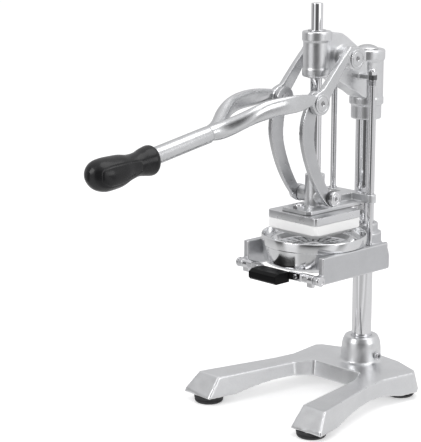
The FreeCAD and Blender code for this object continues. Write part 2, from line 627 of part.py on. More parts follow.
for label, sign in SIDES:
    arm = limb([(sign * x, number(COLUMN_Y) + y, z, wide, high)
                for x, y, z, wide, high in fork_path])
    inner, outer = number(EYE_IN), number(EYE_OUT)
    start_x = inner if sign > 0 else -outer
    eyes = [Part.makeCylinder(number(EYE_R), outer - inner, Vector(start_x, y, z), Vector(1, 0, 0))
            for y, z in (A_SPOT, B_SPOT)]
    strap = [Vector(start_x + 0.5, y0 + y, z0 + z) for (y0, z0), y, z in strap_outline]
    strap = Part.Face(Part.makePolygon(strap + strap[:1]))
    strap = strap.extrude(Vector(outer - inner - 1, 0, 0))
    lever_shape = lever_shape.fuse([arm, eyes[0], eyes[1], strap])
    bores = [Part.makeCylinder(number(PIN_R), 30, Vector(sign * 33 - 15, y, z), Vector(1, 0, 0))
             for y, z in (A_SPOT, B_SPOT)]
    face_x = outer if sign > 0 else -outer - 6
    spot_faces = [Part.makeCylinder(number(CAP_R) + 0.5, 6, Vector(face_x, y, z), Vector(1, 0, 0))
                  for y, z in (A_SPOT, B_SPOT)]
    lever_shape = lever_shape.cut(bores + spot_faces)
lever = free_form("lever", lever_shape.removeSplitter())
keep("lever_casting", lever)

# Lever grip: moulded handle with a bulb, a waist and a flared collar
grip_path = [
    (-356, 339.5, 14.5), (-357, 339.5, 16.5), (-361.5, 339.5, 17), (-369, 339, 15.5),
    (-379, 337.5, 13.5), (-391, 335.5, 14.5), (-403, 334, 17.5), (-414.5, 333, 18.5),
    (-426.5, 332.5, 18.5), (-436.5, 332.5, 16), (-443, 333, 11), (-447, 333.5, 5),
]
grip_shape = limb([(0, number(COLUMN_Y) + y, z, r - 0.1, r) for y, z, r in grip_path])
grip = free_form("grip", grip_shape.cut(lever_shape))
keep("lever_grip", grip)

# Lever pivot pin and the caps on its ends
pin_a = bar("pin_a", PIN_R, (-EYE_OUT, PIVOT_A_Y, PIVOT_A_Z), EYE_OUT * 2, "x")
keep("lever_pivot_pin", pin_a)


def cap_pair(name, y, z, left_thick, right_thick):
    """Turned caps on the outer faces of both lever eyes, each with a centre dimple."""
    caps = []
    for label, thick, start, face in (
        ("left", left_thick, -EYE_OUT - left_thick, -EYE_OUT - left_thick),
        ("right", right_thick, EYE_OUT, EYE_OUT + right_thick - 1),
    ):
        disc = bar(f"{name}_{label}_disc", CAP_R, (start, y, z), thick, "x")
        dimple = bar(f"{name}_{label}_dimple", 2.6, (face, y, z), 1, "x")
        caps.append(carve(f"{name}_{label}", disc, [dimple]))
    item = doc.addObject("Part::Compound", name + "_group")
    item.Links = caps
    return item


keep("lever_pivot_caps", cap_pair("cap_a", PIVOT_A_Y, PIVOT_A_Z, HUB_THICK, CAP_THICK))

# Upper link pins, fixed in the lever's lower eyes, and their caps
pins = []
for label, sign in SIDES:
    start = LINK_IN - 0.4 if sign > 0 else -EYE_OUT
    pin_length = EYE_OUT - LINK_IN + 0.4
    pins.append(bar(f"pin_b_{label}", PIN_R, (start, PIVOT_B_Y, PIVOT_B_Z), pin_length, "x"))
group = doc.addObject("Part::Compound", "pin_b_group")
group.Links = pins
keep("link_upper_pins", group)
keep("link_upper_caps", cap_pair("cap_b", PIVOT_B_Y, PIVOT_B_Z, CAP_THICK, CAP_THICK))

# Bow links: flat bars that bulge forward between the lever and the press head
for label, sign in SIDES:
    start = LINK_IN if sign > 0 else -LINK_OUT
    thick = LINK_OUT - LINK_IN
    bow = slab(f"bow_{label}", "YZ_Plane", [
        (PIVOT_B_Y - 13.6, PIVOT_B_Z - 2.6, 55),
        (PIVOT_B_Y - 21.7, PIVOT_B_Z - 48.7, 161),
        (PRESS_Y - 8.1, PIVOT_C_Z - 6.6),
        (PRESS_Y - 4.4, PIVOT_C_Z + 8.8, Size(-173, "(0 - 173)")),
        (PRESS_Y - 31.8, PIVOT_C_Z + 68.3, Size(-91, "(0 - 91)")),
        (PIVOT_B_Y + 0.7, PIVOT_B_Z - 12.7),
    ], thick)
    put(bow, start, 0, 0)
    eye_top = bar(f"bow_eye_top_{label}", LINK_EYE_R, (start, PIVOT_B_Y, PIVOT_B_Z), thick, "x")
    eye_low = bar(f"bow_eye_low_{label}", LINK_FOOT_R, (start, PRESS_Y, PIVOT_C_Z), thick, "x")
    hole_top = bar(f"bow_hole_top_{label}", PIN_R + FIT, (start, PIVOT_B_Y, PIVOT_B_Z), thick, "x")
    hole_low = bar(f"bow_hole_low_{label}", 5, (start, PRESS_Y, PIVOT_C_Z), thick, "x")
    link = carve(f"bow_link_solid_{label}", join(f"bow_blank_{label}", [bow, eye_top, eye_low]),
                 [hole_top, hole_low])
    keep(f"bow_link_{label}", link)

# Lower link studs with washers and round nuts
studs, washers, nuts = [], [], []
for label, sign in SIDES:
    face = LINK_OUT if sign > 0 else -LINK_OUT
    start = LINK_IN if sign > 0 else -LINK_OUT - 5
    studs.append(bar(f"stud_{label}", 5, (start, PRESS_Y, PIVOT_C_Z), LINK_OUT - LINK_IN + 5, "x"))
    low = face if sign > 0 else face - 1.6
    washers.append(ring(f"stud_washer_{label}", 10, 5, (low, PRESS_Y, PIVOT_C_Z), 1.6, "x"))
    low = face + 1.6 if sign > 0 else face - 1.6 - 5.4
    nut = bar(f"stud_nut_{label}_disc", 9, (low, PRESS_Y, PIVOT_C_Z), 5.4, "x")
    hole = bar(f"stud_nut_{label}_hole", 5, (start, PRESS_Y, PIVOT_C_Z), LINK_OUT - LINK_IN + 5, "x")
    dimple_x = low + 4 if sign > 0 else low
    dimple = bar(f"stud_nut_{label}_dimple", 2.4, (dimple_x, PRESS_Y, PIVOT_C_Z), 1.4, "x")
    nuts.append(carve(f"stud_nut_{label}", nut, [hole, dimple]))
for name, items in (
    ("link_lower_studs", studs),
    ("link_lower_washers", washers),
    ("link_lower_nuts", nuts),
):
    group = doc.addObject("Part::Compound", name + "_group")
    group.Links = items
    keep(name, group)

# Press head casting: post, cross boss, foot plate, arm and guide crossbar
PLATE_TOP = PLATE_BOTTOM + PLATE_THICK
post = bar("post", POST_R, (0, PRESS_Y, PLATE_TOP), POST_TOP - PLATE_TOP)
yoke = bar("yoke", 9.5, (-YOKE_HALF, PRESS_Y, PIVOT_C_Z), YOKE_HALF * 2, "x")
foot_plate = slab("foot_plate", "XY_Plane", [
    (-FLANGE_HALF + 5, PRESS_Y - 36), (FLANGE_HALF - 5, PRESS_Y - 36), (FLANGE_HALF, PRESS_Y - 31),
    (FLANGE_HALF, COLUMN_Y - 32), (-FLANGE_HALF, COLUMN_Y - 32), (-FLANGE_HALF, PRESS_Y - 31),
], FLANGE_LIP)
put(foot_plate, 0, 0, PLATE_TOP)
BAR_FRONT, BAR_BACK = COLUMN_Y - 33, COLUMN_Y - 19.6
crossbar = slab("crossbar", "XY_Plane", [
    (BAR_HALF - 6, BAR_FRONT, 6.8), (BAR_HALF - 6, BAR_BACK),
    (-BAR_HALF + 6, BAR_BACK, 6.8), (-BAR_HALF + 6, BAR_FRONT),
], BAR_HIGH)
put(crossbar, 0, 0, BAR_BOTTOM)
arm_web = block("head_arm", (-9, PRESS_Y, PLATE_TOP), (9, COLUMN_Y - 30, BAR_BOTTOM + BAR_HIGH))
gusset = slab("head_gusset", "YZ_Plane", [
    (PRESS_Y + 2, PLATE_TOP + 2), (PRESS_Y + 30, PLATE_TOP + 2),
    (PRESS_Y + 10.5, POST_TOP - 14.5), (PRESS_Y + 2, POST_TOP - 14.5),
], 7, both_ways=True)
bush_seats = [bar(f"bush_seat_{label}", 5, (sign * ROD_X, ROD_Y, BAR_BOTTOM - 5), 40)
              for label, sign in SIDES]
shaft_seat = bar("shaft_seat", SHAFT_R, (0, PRESS_Y, PIVOT_C_Z - 14), 100)
bolt_spots = [(Size(0, "0"), PRESS_Y - 28), (Size(-15, "(0 - 15)"), PRESS_Y + 24),
              (Size(15, "15"), PRESS_Y + 24)]
bolt_seats = [bar(f"bolt_seat_{i}", 3, (x, y, PLATE_BOTTOM - 12), 40)
              for i, (x, y) in enumerate(bolt_spots)]
press_foot = join("press_foot", [post, arm_web, foot_plate, crossbar])
press_head = carve("press_head_solid", join("press_head_blank", [press_foot, yoke, gusset]),
                   bush_seats + [shaft_seat] + bolt_seats)
keep("press_head_casting", press_head)

shaft = bar("shaft", SHAFT_R, (0, PRESS_Y, PIVOT_C_Z - 14), SHAFT_TOP - PIVOT_C_Z + 14)
keep("press_shaft", shaft)

bar_bushes = [ring(f"bar_bush_{label}", 5, ROD_R + FIT, (sign * ROD_X, ROD_Y, BAR_BOTTOM), 11.5)
              for label, sign in SIDES]
group = doc.addObject("Part::Compound", "bar_bush_group")
group.Links = bar_bushes
keep("crossbar_bushes", group)

# Square plate and the white presser under it, held by three bolts with cap nuts
plate_low = (-PLATE_HALF, PRESS_Y - PLATE_HALF, PLATE_BOTTOM)
plate_high = (PLATE_HALF, PRESS_Y + PLATE_HALF, PLATE_TOP)
plate_holes = [bar(f"plate_hole_{i}", 3, (x, y, PLATE_BOTTOM), PLATE_THICK)
               for i, (x, y) in enumerate(bolt_spots)]
plate_blank = block("press_plate_blank", plate_low, plate_high)
keep("press_plate", carve("press_plate_solid", plate_blank, plate_holes))

presser_block = block("presser_block",
                      (-PLATE_HALF, PRESS_Y - PLATE_HALF, PLATE_BOTTOM - PRESSER_THICK),
                      (PLATE_HALF, PRESS_Y + PLATE_HALF, PLATE_BOTTOM))
dome = doc.addObject("Part::Sphere", "presser_dome")
bind(dome, Radius=DOME_R)
put(dome, 0, PRESS_Y, PLATE_BOTTOM - PRESSER_THICK + DOME_R)
presser_common = doc.addObject("Part::Common", "presser_common")
presser_common.Base = presser_block
presser_common.Tool = dome
presser_holes = [bar(f"presser_hole_{i}", 3, (x, y, PLATE_BOTTOM - 10), 10)
                 for i, (x, y) in enumerate(bolt_spots)]
keep("presser", carve("presser_solid", presser_common, presser_holes))

bolts, nuts = [], []
for i, (x, y) in enumerate(bolt_spots):
    bolt_top = PLATE_TOP + FLANGE_LIP
    bolts.append(bar(f"plate_bolt_{i}", 3, (x, y, PLATE_BOTTOM - 10), bolt_top - PLATE_BOTTOM + 14))
    nuts.append(acorn_nut(f"plate_nut_{i}", (x, y, bolt_top), 12.0 if i == 0 else 9.0, 7.0, 3))
for name, items in (("plate_bolts", bolts), ("plate_cap_nuts", nuts)):
    group = doc.addObject("Part::Compound", name + "_group")
    group.Links = items
    keep(name, group)

# Bowl: spun steel cup with a rim band that rests on the arms, and a spout
BAND_FOOT = ARM_TOP
bowl = turned("bowl_shell", [
    (BOWL_R, BAND_FOOT), (BOWL_R, BOWL_TOP - 1), (BOWL_R - 0.9, BOWL_TOP),
    (BOWL_R - BOWL_WALL, BOWL_TOP - 1), (BOWL_R - BOWL_WALL, BAND_FOOT + BOWL_WALL),
    (BOWL_BODY_R - BOWL_WALL, BAND_FOOT + BOWL_WALL), (BOWL_FOOT_R - BOWL_WALL, BOWL_FOOT + 1),
    (BOWL_FOOT_R - 4.5, BOWL_FOOT - 1.7), (SPOUT_R + 8, SPOUT_BOTTOM + 10.5),
    (SPOUT_R - BOWL_WALL, SPOUT_BOTTOM + 7), (SPOUT_R - BOWL_WALL, SPOUT_BOTTOM),
    (SPOUT_R, SPOUT_BOTTOM), (SPOUT_R, SPOUT_BOTTOM + 5.6), (SPOUT_R + 9, SPOUT_BOTTOM + 8.6),
    (BOWL_FOOT_R - 3.7, BOWL_FOOT - 3.6), (BOWL_FOOT_R, BOWL_FOOT), (BOWL_BODY_R, BAND_FOOT),
])
put(bowl, 0, PRESS_Y, 0)
keep("bowl", bowl)

# Strainer: pressed disc with radial slots and a raised middle
STRAINER_Z = BAND_FOOT + BOWL_WALL
strainer_disc = turned("strainer_disc", [
    (0, STRAINER_Z - 5), (20, STRAINER_Z - 7), (DISH_R + 0.5, STRAINER_Z - 7),
    (DISH_R + 4.1, STRAINER_Z), (BOWL_BODY_R - 0.8, STRAINER_Z),
    (BOWL_BODY_R - 0.8, STRAINER_Z + 1.2), (DISH_R + 3.1, STRAINER_Z + 1.2),
    (DISH_R - 0.5, STRAINER_Z - 5.8), (20, STRAINER_Z - 5.8), (0, STRAINER_Z - 1.5),
])
put(strainer_disc, 0, PRESS_Y, 0)
slots = []
for index in range(20):
    slot = block(f"strainer_slot_{index}", (24, -1.5, STRAINER_Z - 12), (44, 1.5, STRAINER_Z))
    around = Rotation(Vector(0, 0, 1), index * 18)
    corner = around.multVec(Vector(24, -1.5, 0))
    slot.Placement.Rotation = around
    slot.setExpression("Placement.Base.x", formula(corner.x))
    slot.setExpression("Placement.Base.y", formula(PRESS_Y + corner.y))
    slots.append(slot)
keep("strainer", carve("strainer_solid", strainer_disc, slots))

# Front latch: a bail across the arms with a black finger grip
BAIL_FRONT = HINGE_Y - KNUCKLE_R
KNUCKLE_LONG = cell("knuckle_length", 21.5, "length of a latch knuckle")
KNUCKLE_IN = ARM_OUT - ARM_THICK - 0.5 - KNUCKLE_LONG
TANG_LOW, TANG_HIGH = HINGE_Z - 6, HINGE_Z - 2.6
bail_parts = [
    block("bail_strip", (-KNUCKLE_IN - 14, BAIL_FRONT, HINGE_Z - 3),
          (KNUCKLE_IN + 14, BAIL_FRONT + 4, HINGE_Z + 3.5)),
    block("bail_tang", (-9, BAIL_FRONT - 16, TANG_LOW), (9, BAIL_FRONT + 1, TANG_HIGH)),
]
tang_slot = block("tang_slot", (-9, BAIL_FRONT - 16, TANG_LOW), (9, BAIL_FRONT + 1, TANG_HIGH))
bail_holes, latch_pins, latch_screws = [], [], []
for label, sign in SIDES:
    start = KNUCKLE_IN if sign > 0 else -KNUCKLE_IN - KNUCKLE_LONG
    bail_parts.append(
        bar(f"knuckle_{label}", KNUCKLE_R, (start, HINGE_Y, HINGE_Z), KNUCKLE_LONG, "x"))
    bail_holes.append(
        bar(f"knuckle_hole_{label}", 3 + FIT, (sign * ARM_OUT - 40, HINGE_Y, HINGE_Z), 80, "x"))
    start = GRIP_BLOCK_HALF + 0.5 if sign > 0 else -GRIP_BLOCK_HALF - 19
    bail_parts.append(block(f"bail_plate_{label}", (start, BAIL_FRONT - 1.5, HINGE_Z - 4),
                            (start + 18.5, BAIL_FRONT + 2, HINGE_Z + 6)))
    start = KNUCKLE_IN + KNUCKLE_LONG - 9 if sign > 0 else -KNUCKLE_IN - KNUCKLE_LONG
    bail_parts.append(block(f"bail_lobe_{label}", (start, HINGE_Y - 4.5, HINGE_Z - 9),
                            (start + 9, HINGE_Y + 0.5, HINGE_Z - 3.5)))
    screw_spot = (sign * 32, BAIL_FRONT - 1.5, HINGE_Z + 1)
    bail_holes.append(bar(f"bail_screw_hole_{label}", 1.6, screw_spot, 7, "y"))
    pin_in = KNUCKLE_IN + 2
    start = pin_in if sign > 0 else -ARM_OUT
    shank = bar(f"latch_pin_shank_{label}", 3, (start, HINGE_Y, HINGE_Z), ARM_OUT - pin_in, "x")
    head_x = ARM_OUT if sign > 0 else -ARM_OUT - 2.5
    head_disc = bar(f"latch_pin_head_{label}", 6, (head_x, HINGE_Y, HINGE_Z), 2.5, "x")
    latch_pins.append(join(f"latch_pin_{label}", [shank, head_disc]))
    shank = bar(f"latch_screw_shank_{label}", 1.6, screw_spot, 5.5, "y")
    head_spot = (sign * 32, BAIL_FRONT - 2.7, HINGE_Z + 1)
    head_disc = bar(f"latch_screw_head_{label}", 2.8, head_spot, 1.2, "y")
    latch_screws.append(join(f"latch_screw_{label}", [shank, head_disc]))
keep("latch_bail", carve("bail", join("bail_blank", bail_parts), bail_holes))
GRIP_FRONT, GRIP_LOW, GRIP_TOP = BAIL_FRONT - 25, HINGE_Z - 7.7, HINGE_Z + 5
grip_blank = slab("latch_grip_blank", "YZ_Plane", [
    (GRIP_FRONT + 2.5, GRIP_LOW), (BAIL_FRONT, GRIP_LOW), (BAIL_FRONT, GRIP_TOP),
    (GRIP_FRONT + 5, GRIP_TOP), (GRIP_FRONT, GRIP_TOP - 3), (GRIP_FRONT, GRIP_LOW + 2.5),
], GRIP_BLOCK_HALF * 2, both_ways=True)
keep("latch_grip", carve("latch_grip_solid", grip_blank, [tang_slot]))
for name, items in (("latch_pins", latch_pins), ("latch_screws", latch_screws)):
    group = doc.addObject("Part::Compound", name + "_group")
    group.Links = items
    keep(name, group)

doc.recompute()

faults = [item.Name for item in doc.Objects if {"Invalid", "Error"} & set(item.State)]
for item in made:
    shape = item.Shape
    if shape.isNull() or not shape.isValid() or not shape.Solids:
        faults.append(item.Label)
if faults:
    sys.exit("not written, because these failed: " + ", ".join(faults))

os.makedirs("parts", exist_ok=True)
whole = FreeCAD.BoundBox()
for item in made:
    item.Shape.exportStep(f"parts/{item.Label}.step")
    whole.add(item.Shape.BoundBox)
    print(f"{item.Label}: {len(item.Shape.Solids)} solids, {item.Shape.Volume / 1000:.1f} cm3")
low = [round(v, 2) for v in (whole.XMin, whole.YMin, whole.ZMin)]
high = [round(v, 2) for v in (whole.XMax, whole.YMax, whole.ZMax)]
print("box", low, high)
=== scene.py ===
"""Hand lever citrus press, dressed for a studio picture: metres, +Z up, the user stands at -Y."""

import math

import bmesh
import bpy
from mathutils import Matrix, Vector


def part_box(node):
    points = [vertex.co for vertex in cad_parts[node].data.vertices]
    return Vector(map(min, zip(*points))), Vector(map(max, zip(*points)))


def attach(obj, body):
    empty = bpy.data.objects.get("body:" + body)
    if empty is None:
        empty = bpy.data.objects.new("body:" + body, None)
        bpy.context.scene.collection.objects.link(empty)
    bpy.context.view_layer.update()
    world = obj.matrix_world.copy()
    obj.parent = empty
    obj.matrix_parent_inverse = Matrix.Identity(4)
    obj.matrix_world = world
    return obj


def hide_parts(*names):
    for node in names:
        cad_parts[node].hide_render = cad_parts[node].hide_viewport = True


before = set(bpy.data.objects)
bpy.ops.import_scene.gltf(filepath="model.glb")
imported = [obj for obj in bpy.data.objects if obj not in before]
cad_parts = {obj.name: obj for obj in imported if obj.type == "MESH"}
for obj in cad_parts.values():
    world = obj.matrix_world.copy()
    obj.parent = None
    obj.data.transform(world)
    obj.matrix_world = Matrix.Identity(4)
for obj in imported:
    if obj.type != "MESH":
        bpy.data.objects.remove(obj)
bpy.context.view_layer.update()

# Camera, a little above level and well to the right of the front, at about two metres.
camera_data = bpy.data.cameras.new("camera")
camera_data.lens = 136.3
camera_data.sensor_width = 36
camera_data.clip_end = 40
camera = bpy.data.objects.new("camera", camera_data)
CAMERA_DROP, CAMERA_BEARING = 12.86, 46.29
camera.location = (1.34925, -1.35132, 0.68291)
camera.rotation_euler = (math.radians(90 - CAMERA_DROP), 0, math.radians(CAMERA_BEARING))
bpy.context.scene.collection.objects.link(camera)
bpy.context.scene.camera = camera
bpy.context.scene.view_settings.view_transform = "Standard"


# Studio: a pale floor that runs out of sight, a white surround and three soft lamps. What
# polished metal sees of them is crossed by a few darker upright screens.
def add_node(tree, kind, values=None, **settings):
    """A node with its settings and unlinked input values."""
    node = tree.nodes.new(kind)
    for key, value in settings.items():
        setattr(node, key, value)
    for key, value in (values or {}).items():
        node.inputs[key].default_value = value
    return node


def screens(tree, place):
    """Brightness round the horizon, white with darker screens, from a direction or a spot."""
    split = add_node(tree, "ShaderNodeSeparateXYZ")
    tree.links.new(place, split.inputs[0])
    bearing = add_node(tree, "ShaderNodeMath", operation="ARCTAN2")
    tree.links.new(split.outputs["X"], bearing.inputs[0])
    tree.links.new(split.outputs["Y"], bearing.inputs[1])
    share = add_node(tree, "ShaderNodeMapRange", {1: -math.pi, 2: math.pi, 3: 0.0, 4: 1.0})
    tree.links.new(bearing.outputs[0], share.inputs[0])
    ramp = add_node(tree, "ShaderNodeValToRGB")
    tree.links.new(share.outputs[0], ramp.inputs[0])
    stops = [
        (0.000, 1.00), (0.050, 1.00), (0.072, 0.55), (0.086, 0.12), (0.130, 0.13), (0.150, 0.52),
        (0.250, 0.62), (0.360, 0.64), (0.480, 0.70), (0.540, 0.76), (0.600, 0.78), (0.655, 0.82),
        (0.690, 0.38), (0.710, 0.38), (0.730, 0.97), (0.765, 0.88), (0.800, 0.38), (0.830, 0.13),
        (0.900, 0.10), (0.955, 0.17), (0.985, 0.95), (1.000, 1.00),
    ]
    while len(ramp.color_ramp.elements) < len(stops):
        ramp.color_ramp.elements.new(0.5)
    for stop, (spot, level) in zip(ramp.color_ramp.elements, stops):
        stop.position = spot
        stop.color = (level, level, level * 1.01, 1)
    return ramp.outputs[0], split.outputs["Z"]


world = bpy.data.worlds.new("studio")
bpy.context.scene.world = world
world.use_nodes = True
air = world.node_tree
air.nodes.clear()
path = add_node(air, "ShaderNodeLightPath")
seen = add_node(air, "ShaderNodeMath", operation="MAXIMUM")
air.links.new(path.outputs["Is Camera Ray"], seen.inputs[0])
air.links.new(path.outputs["Is Transmission Ray"], seen.inputs[1])
way = add_node(air, "ShaderNodeTexCoord")
around, height = screens(air, way.outputs["Generated"])
overhead = add_node(air, "ShaderNodeMapRange", {1: 0.55, 2: 0.98, 3: 0.0, 4: 1.0})
air.links.new(height, overhead.inputs[0])
dome = add_node(air, "ShaderNodeMix", data_type="RGBA")
air.links.new(overhead.outputs[0], dome.inputs[0])
air.links.new(around, dome.inputs[6])
CEILING = (0.95, 0.95, 0.96, 1)
dome.inputs[7].default_value = CEILING
shine = add_node(air, "ShaderNodeMix", data_type="RGBA")
air.links.new(path.outputs["Is Glossy Ray"], shine.inputs[0])
ROOM_LIGHT = (0.77, 0.77, 0.775, 1)
shine.inputs[6].default_value = ROOM_LIGHT
air.links.new(dome.outputs[2], shine.inputs[7])
white = add_node(air, "ShaderNodeMix", data_type="RGBA")
air.links.new(seen.outputs[0], white.inputs[0])
air.links.new(shine.outputs[2], white.inputs[6])
white.inputs[7].default_value = (1, 1, 1, 1)
backdrop = add_node(air, "ShaderNodeBackground", {1: 1.0})
air.links.new(white.outputs[2], backdrop.inputs[0])
air_out = add_node(air, "ShaderNodeOutputWorld")
air.links.new(backdrop.outputs[0], air_out.inputs[0])

# Each lamp: its name, its place and width in metres, and its power in watts.
lamps = (
    ("key", (-0.5, -2.0, 1.5), 1.1, 13.0),
    ("overhead", (0.5, 0.4, 2.0), 1.4, 9.0),
    ("side", (1.9, 0.5, 0.9), 0.9, 5.0),
)
for name, spot, size, power in lamps:
    lamp_data = bpy.data.lights.new("lamp_" + name, "AREA")
    lamp_data.size = size
    lamp_data.energy = power
    lamp = bpy.data.objects.new("lamp_" + name, lamp_data)
    lamp.location = spot
    aim = Vector((0, 0, 0.2)) - Vector(spot)
    lamp.rotation_euler = aim.to_track_quat("-Z", "Y").to_euler()
    bpy.context.scene.collection.objects.link(lamp)

floor_mesh = bpy.data.meshes.new("floor")
reach = 9.0
floor_mesh.from_pydata(
    [(-reach, -reach, 0), (reach, -reach, 0), (reach, reach, 0), (-reach, reach, 0)],
    [], [(0, 1, 2, 3)],
)
floor = bpy.data.objects.new("floor", floor_mesh)
bpy.context.scene.collection.objects.link(floor)
floor_paint = bpy.data.materials.new("floor_white")
floor_paint.use_nodes = True
paint = floor_paint.node_tree
paint.nodes.clear()
paper = add_node(paint, "ShaderNodeBsdfDiffuse", {0: (0.86, 0.86, 0.86, 1)})
rays = add_node(paint, "ShaderNodeLightPath")
shown = add_node(paint, "ShaderNodeMath", operation="MAXIMUM")
paint.links.new(rays.outputs["Is Camera Ray"], shown.inputs[0])
paint.links.new(rays.outputs["Is Transmission Ray"], shown.inputs[1])
FLOOR_LIFT = 0.37
lift = add_node(paint, "ShaderNodeMath", {1: FLOOR_LIFT}, operation="MULTIPLY")
paint.links.new(shown.outputs[0], lift.inputs[0])
glow = add_node(paint, "ShaderNodeEmission", {0: (1, 1, 1, 1)})
paint.links.new(lift.outputs[0], glow.inputs[1])
both = add_node(paint, "ShaderNodeAddShader")
paint.links.new(paper.outputs[0], both.inputs[0])
paint.links.new(glow.outputs[0], both.inputs[1])
spot_on = add_node(paint, "ShaderNodeTexCoord").outputs["Object"]
around, _ = screens(paint, spot_on)
away = add_node(paint, "ShaderNodeVectorMath", operation="LENGTH")
paint.links.new(spot_on, away.inputs[0])
NEAR, FAR = 0.45, 1.10
near = add_node(paint, "ShaderNodeMapRange", {1: NEAR, 2: FAR, 3: 0.35, 4: 1.0})
paint.links.new(away.outputs["Value"], near.inputs[0])
mirrored = add_node(paint, "ShaderNodeMix", data_type="RGBA")
paint.links.new(near.outputs[0], mirrored.inputs[0])
mirrored.inputs[6].default_value = (0.80, 0.80, 0.80, 1)
paint.links.new(around, mirrored.inputs[7])
mirror_glow = add_node(paint, "ShaderNodeEmission", {1: 1.0})
paint.links.new(mirrored.outputs[2], mirror_glow.inputs[0])
pick = add_node(paint, "ShaderNodeMixShader")
paint.links.new(rays.outputs["Is Glossy Ray"], pick.inputs[0])
paint.links.new(both.outputs[0], pick.inputs[1])
paint.links.new(mirror_glow.outputs[0], pick.inputs[2])
paint_out = add_node(paint, "ShaderNodeOutputMaterial")
paint.links.new(pick.outputs[0], paint_out.inputs[0])
floor_mesh.materials.append(floor_paint)


# Base: one aluminium casting, two splayed legs on a cross piece with the column's socket
# standing on it. Sand cast, fettled, then tumbled, so that every edge is worn round.
def wobble(tree, coords, scale, detail, low, high, stretch=(1, 1, 1)):
    """A noise pattern on the piece, brought into a range of values."""
    place = add_node(tree, "ShaderNodeMapping", {"Scale": stretch})
    tree.links.new(coords, place.inputs[0])
    grain = add_node(tree, "ShaderNodeTexNoise", {"Scale": scale, "Detail": detail})
    tree.links.new(place.outputs[0], grain.inputs["Vector"])
    band = add_node(tree, "ShaderNodeMapRange", {1: 0.3, 2: 0.7, 3: low, 4: high})
    tree.links.new(grain.outputs[0], band.inputs[0])
    return band.outputs[0]


def metal_finish(name, light, dark, rough, spread, grain, scratch=0.0, lie=(1, 1, 40), worn=0.0):
    """Bare or plated metal: cloudy colour, uneven gloss, fine grain and polishing lines."""
    finish = bpy.data.materials.new(name)
    finish.use_nodes = True
    tree = finish.node_tree
    shader = tree.nodes["Principled BSDF"]
    shader.inputs["Metallic"].default_value = 1.0
    coords = add_node(tree, "ShaderNodeTexCoord").outputs["Object"]
    cloud = wobble(tree, coords, 38, 4, 0.0, 1.0)
    speck = wobble(tree, coords, 420, 3, 0.0, 1.0)
    mixed = add_node(tree, "ShaderNodeMix", {0: 0.35}, data_type="FLOAT")
    tree.links.new(cloud, mixed.inputs[2])
    tree.links.new(speck, mixed.inputs[3])
    tint = add_node(tree, "ShaderNodeMix", data_type="RGBA")
    tint.inputs[6].default_value = (*dark, 1)
    tint.inputs[7].default_value = (*light, 1)
    tree.links.new(mixed.outputs[0], tint.inputs[0])
    colour, gloss = tint.outputs[2], wobble(tree, coords, 95, 5, rough - spread, rough + spread)
    if worn:
        form = add_node(tree, "ShaderNodeNewGeometry")
        edge = add_node(tree, "ShaderNodeMapRange", {1: 0.505, 2: 0.56, 3: 0.0, 4: worn})
        tree.links.new(form.outputs["Pointiness"], edge.inputs[0])
        bright = add_node(tree, "ShaderNodeMix", data_type="RGBA")
        bright.inputs[7].default_value = (0.93, 0.93, 0.94, 1)
        tree.links.new(edge.outputs[0], bright.inputs[0])
        tree.links.new(colour, bright.inputs[6])
        colour = bright.outputs[2]
        rubbed = add_node(tree, "ShaderNodeMix", {3: rough * 0.45}, data_type="FLOAT")
        tree.links.new(edge.outputs[0], rubbed.inputs[0])
        tree.links.new(gloss, rubbed.inputs[2])
        gloss = rubbed.outputs[0]
    tree.links.new(colour, shader.inputs["Base Color"])
    tree.links.new(gloss, shader.inputs["Roughness"])
    skin = wobble(tree, coords, 1600, 2, 0.0, 1.0)
    if scratch:
        lines = wobble(tree, coords, 60, 3, 0.0, 1.0, lie)
        blend = add_node(tree, "ShaderNodeMix", {0: scratch}, data_type="FLOAT")
        tree.links.new(skin, blend.inputs[2])
        tree.links.new(lines, blend.inputs[3])
        skin = blend.outputs[0]
    relief = add_node(tree, "ShaderNodeBump", {"Strength": grain, "Distance": 0.0003})
    tree.links.new(skin, relief.inputs["Height"])
    tree.links.new(relief.outputs[0], shader.inputs["Normal"])
    return finish


def flat_copy(piece):
    """The piece's mesh with its modifiers applied and removed."""
    view = bpy.context.evaluated_depsgraph_get()
    mesh = bpy.data.meshes.new_from_object(piece.evaluated_get(view), depsgraph=view)
    piece.modifiers.clear()
    piece.data = mesh
    return piece


def show(piece, body, finish, slot, *nodes, sharp=40):
    """Give a piece its finish, its body and the nodes it stands for; slot is not used."""
    piece.data.materials.clear()
    piece.data.materials.append(finish)
    piece.data.shade_smooth()
    piece.data.set_sharp_from_angle(angle=math.radians(sharp))
    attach(piece, body)
    if nodes:
        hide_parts(*nodes)
    return piece


def new_piece(name, shape):
    """An object from a bmesh whose corners are in millimetres."""
    bmesh.ops.recalc_face_normals(shape, faces=shape.faces)
    bmesh.ops.scale(shape, vec=(0.001,) * 3, verts=shape.verts)
    mesh = bpy.data.meshes.new(name)
    shape.to_mesh(mesh)
    shape.free()
    piece = bpy.data.objects.new(name, mesh)
    bpy.context.scene.collection.objects.link(piece)
    return piece


def worn_casting(name, node, grid, passes):
    """A node's own solid with its edges worn round: grid is the mesh size in millimetres."""
    shape = bmesh.new()
    shape.from_mesh(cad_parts[node].data)
    bmesh.ops.remove_doubles(shape, verts=shape.verts, dist=0.00001)
    bmesh.ops.scale(shape, vec=(1000,) * 3, verts=shape.verts)
    piece = new_piece(name, shape)
    skin = piece.modifiers.new("skin", "REMESH")
    skin.mode = "VOXEL"
    skin.voxel_size = grid / 1000
    wear = piece.modifiers.new("wear", "SMOOTH")
    wear.factor = 0.5
    wear.iterations = passes
    return flat_copy(piece)


